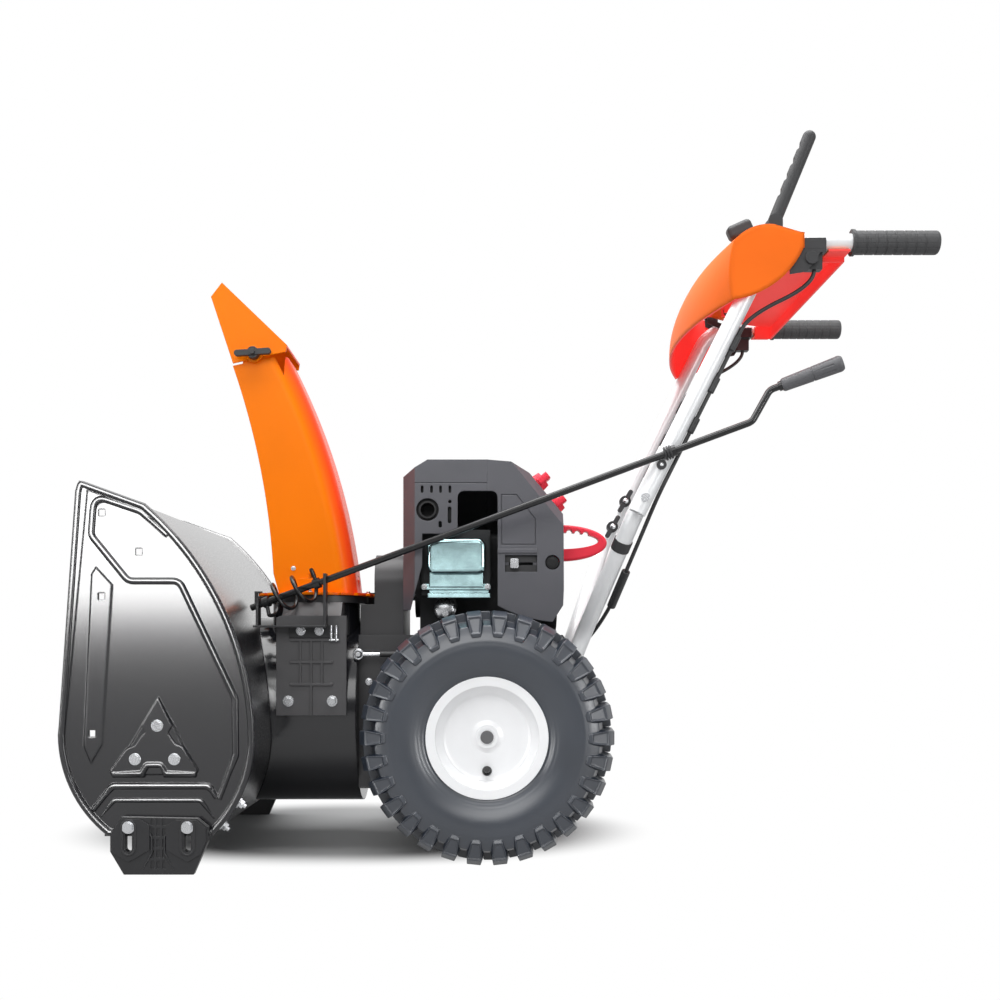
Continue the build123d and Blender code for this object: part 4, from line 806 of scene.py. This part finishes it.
trimValues = {
    "guide": (258, -282.1, 593.2), "rodRun": (0.9235, -0.2045, 0.3245), "guideRings": (-4, 0, 4),
    "ring": (0.0084, 0.0017),
    "cap": (249, -274, 577), "capDepth": 0.0065, "capRadius": 0.0069, "capCentre": (0.0028, 0.0016),
    "strap": (199.1, -210.3, 468), "tubeRun": (0.2929, -0.5545, 0.7789), "strapHalf": 0.0085, "strapRadius": 0.0141,
    "blocks": (((76.0, -150, 405), (78.5, -74, 520)),
               ((27.2, -179.3, 429.2), (74.8, -178.8, 439.4)), ((27.2, -179.3, 443.6), (74.8, -178.8, 453.8))),
    "knobs": ((249, 577), (226, 531)), "knobY": 204.2, "knobScrew": (0.0052, 0.0042),
    "dome": (-65, -119.5, 375), "domeSize": (0.0175, 0.007),
    "domeBolt": (0.001, -0.005, -0.008), "boltSize": (0.0036, 0.005),
    "boot": (0.38, 0.76), "bootRadius": 0.0066, "bootEdge": 0.0015,
}


def buildTrim():
    black = Shape()
    run = Vector(trimValues["rodRun"])
    for along in trimValues["guideRings"]:
        black.loop(at(*trimValues["guide"]) + run * along / 1000, run, *trimValues["ring"])
    cap = at(*trimValues["cap"])
    capFace = cap + Vector((0, -trimValues["capDepth"], 0))
    black.rod(cap, capFace, trimValues["capRadius"])
    strap, reach = at(*trimValues["strap"]), Vector(trimValues["tubeRun"]) * trimValues["strapHalf"]
    black.rod(strap - reach, strap + reach, trimValues["strapRadius"])
    # The dark plate behind the starter slot stands in for the shade inside the hollow shroud, and two dark strips
    # darken the fuel recess
    for low, high in trimValues["blocks"]:
        black.block(at(*low), at(*high))
    meshPiece("blackTrim", black, "chassis", "blackPlastic")
    zinc = Shape()
    for x, z in trimValues["knobs"]:
        for side in (-1, 1):
            zinc.dome(at(x, side * trimValues["knobY"], z), (0, -side, 0), *trimValues["knobScrew"])
    zinc.dome(capFace, (0, -1, 0), *trimValues["capCentre"])
    dome = at(*trimValues["dome"])
    zinc.dome(dome, (0, -1, 0), *trimValues["domeSize"])
    zinc.bolt(dome + Vector(trimValues["domeBolt"]), (0, -1, 0), *trimValues["boltSize"])
    meshPiece("zincTrim", zinc, "chassis", "zincBolt")
    boot = Shape()
    start, end = cableRoute(-1)[-3:-1]
    boot.rod(*(start.lerp(end, share) for share in trimValues["boot"]), trimValues["bootRadius"])
    meshPiece("cableBoot", boot, "chassis", "sheath", edge=trimValues["bootEdge"])


buildTrim()
buildBolts()
buildCableLink()
print("small pieces built")

studio = {
    "shadowPoolGrey": 0.34, "floorRoughness": 0.7, "floorReflection": 0.6, "floorRadius": 9.0,
    "shadowCentre": (-0.25, 0.12), "shadowReach": (0.47, 0.36), "shadowFade": (0.7, 1.1),
    "worldLight": 0.6, "worldColour": (0.94, 0.97, 1.0), "frontReflection": 0.22,
    "roomDepth": (-0.75, 0.2), "roomHeight": (0.2, 0.7),
    "stripPower": 42.0, "stripSize": (0.5, 1.7), "stripTarget": (-0.2, 0, 0.4),
    "frontPower": 46.0, "topPower": 66.0, "sheenPower": 280.0, "glintPower": 2.2, "sheenY": -3.1,
}
cameraValues = {"lens": 46.9, "sensor": 36.0, "shift": (0.013, 0.14), "place": (-0.0235, -2.135, 0.327)}


def roomReflection(tree):
    place = tree.nodes.new("ShaderNodeTexCoord")
    split = tree.nodes.new("ShaderNodeSeparateXYZ")
    link(tree, place.outputs["Generated"], split.inputs["Vector"])
    behind = mapRange(tree, split.outputs["Y"], *studio["roomDepth"], smooth=True)
    above = mapRange(tree, split.outputs["Z"], *studio["roomHeight"], smooth=True)
    return mapRange(tree, combine(tree, "MAXIMUM", behind, above), low=studio["frontReflection"])


def buildWorld():
    world = bpy.data.worlds.new("studio")
    bpy.context.scene.world = world
    world.use_nodes = True
    tree = world.node_tree
    tree.nodes.clear()
    path = tree.nodes.new("ShaderNodeLightPath")
    light, shown, mirrored = (tree.nodes.new("ShaderNodeBackground") for _ in range(3))
    light.inputs["Color"].default_value = studio["worldColour"] + (1,)
    light.inputs["Strength"].default_value = studio["worldLight"]
    for backdrop in (shown, mirrored):
        backdrop.inputs["Color"].default_value = (1, 1, 1, 1)
    link(tree, roomReflection(tree), mirrored.inputs["Strength"])
    soft = mixShaders(tree, path.outputs["Is Glossy Ray"], light.outputs["Background"], mirrored.outputs["Background"])
    whole = mixShaders(tree, path.outputs["Is Camera Ray"], soft, shown.outputs["Background"])
    out = tree.nodes.new("ShaderNodeOutputWorld")
    link(tree, whole, out.inputs["Surface"])


# Inside this ellipse round the machine the floor is a darker grey that takes the real shadow and deepens it into a
# painted shadow pool; outside it camera and glossy rays see white
def shadowFade(tree):
    place = tree.nodes.new("ShaderNodeTexCoord")
    fit = tree.nodes.new("ShaderNodeMapping")
    fit.vector_type = "TEXTURE"
    fit.inputs["Location"].default_value = studio["shadowCentre"] + (0,)
    fit.inputs["Scale"].default_value = studio["shadowReach"] + (1,)
    link(tree, place.outputs["Object"], fit.inputs["Vector"])
    reach = tree.nodes.new("ShaderNodeVectorMath")
    reach.operation = "LENGTH"
    link(tree, fit.outputs["Vector"], reach.inputs[0])
    return mapRange(tree, reach.outputs["Value"], *studio["shadowFade"], smooth=True)


def buildFloor():
    bpy.ops.mesh.primitive_circle_add(vertices=96, radius=studio["floorRadius"], fill_type="NGON")
    floor = bpy.context.object
    floor.name = "floor"
    material, tree, shader = newMaterial("floor")
    shader.inputs["Base Color"].default_value = (studio["shadowPoolGrey"],) * 3 + (1,)
    shader.inputs["Roughness"].default_value = studio["floorRoughness"]
    path = tree.nodes.new("ShaderNodeLightPath")
    glossy = mapRange(tree, path.outputs["Is Glossy Ray"], high=studio["floorReflection"])
    seen = combine(tree, "MAXIMUM", path.outputs["Is Camera Ray"], glossy)
    shown = combine(tree, "MULTIPLY", shadowFade(tree), seen)
    white = tree.nodes.new("ShaderNodeEmission")
    white.inputs["Color"].default_value = (1, 1, 1, 1)
    mix = mixShaders(tree, shown, shader.outputs["BSDF"], white.outputs["Emission"])
    link(tree, mix, tree.nodes["Material Output"].inputs["Surface"])
    floor.data.materials.append(material)


def softbox(name, place, target, size, power, diffuse=True):
    data = bpy.data.lights.new(name, "AREA")
    data.shape = "RECTANGLE"
    data.size, data.size_y = size
    data.energy = power
    lamp = bpy.data.objects.new(name, data)
    bpy.context.collection.objects.link(lamp)
    lamp.location = place
    lamp.rotation_euler = (Vector(target) - Vector(place)).to_track_quat("-Z", "Y").to_euler()
    lamp.visible_camera = False
    lamp.visible_diffuse = diffuse
    return lamp


def buildSheen(name, x, z, size, power, pieces):
    lamp = softbox(name, (x, studio["sheenY"], z), (x, 0, z), size, power, False)
    lit = bpy.data.collections.new(name)
    for piece in pieces:
        lit.objects.link(piece)
    lamp.light_linking.receiver_collection = lit


def buildLamps():
    for name, place in (("left strip", (-3.6, -2.4, 0.7)), ("right strip", (2.8, -2.6, 0.8))):
        softbox(name, place, studio["stripTarget"], studio["stripSize"], studio["stripPower"], False)
    softbox("front", (-0.5, -3.4, 1.95), (0, 0, 0.5), (2.6, 1.6), studio["frontPower"])
    softbox("top", (-0.1, -0.2, 2.4), (-0.1, -0.05, 0), (2.2, 1.8), studio["topPower"])
    buildSheen("sheen", -1.3, 1.13, (2.4, 1.4), studio["sheenPower"], sheetMetal)
    buildSheen("glint", -0.05, 0.42, (1.3, 0.44), studio["glintPower"], [nodes["valve_cover"]])


def buildCamera():
    data = bpy.data.cameras.new("camera")
    data.lens = cameraValues["lens"]
    data.sensor_width = cameraValues["sensor"]
    data.shift_x, data.shift_y = cameraValues["shift"]
    camera = bpy.data.objects.new("camera", data)
    bpy.context.collection.objects.link(camera)
    camera.location = cameraValues["place"]
    camera.rotation_euler = (math.radians(90), 0, 0)
    bpy.context.scene.camera = camera


buildWorld()
buildFloor()
buildLamps()
buildCamera()
bpy.context.scene.view_settings.view_transform = "Standard"
print("studio set")
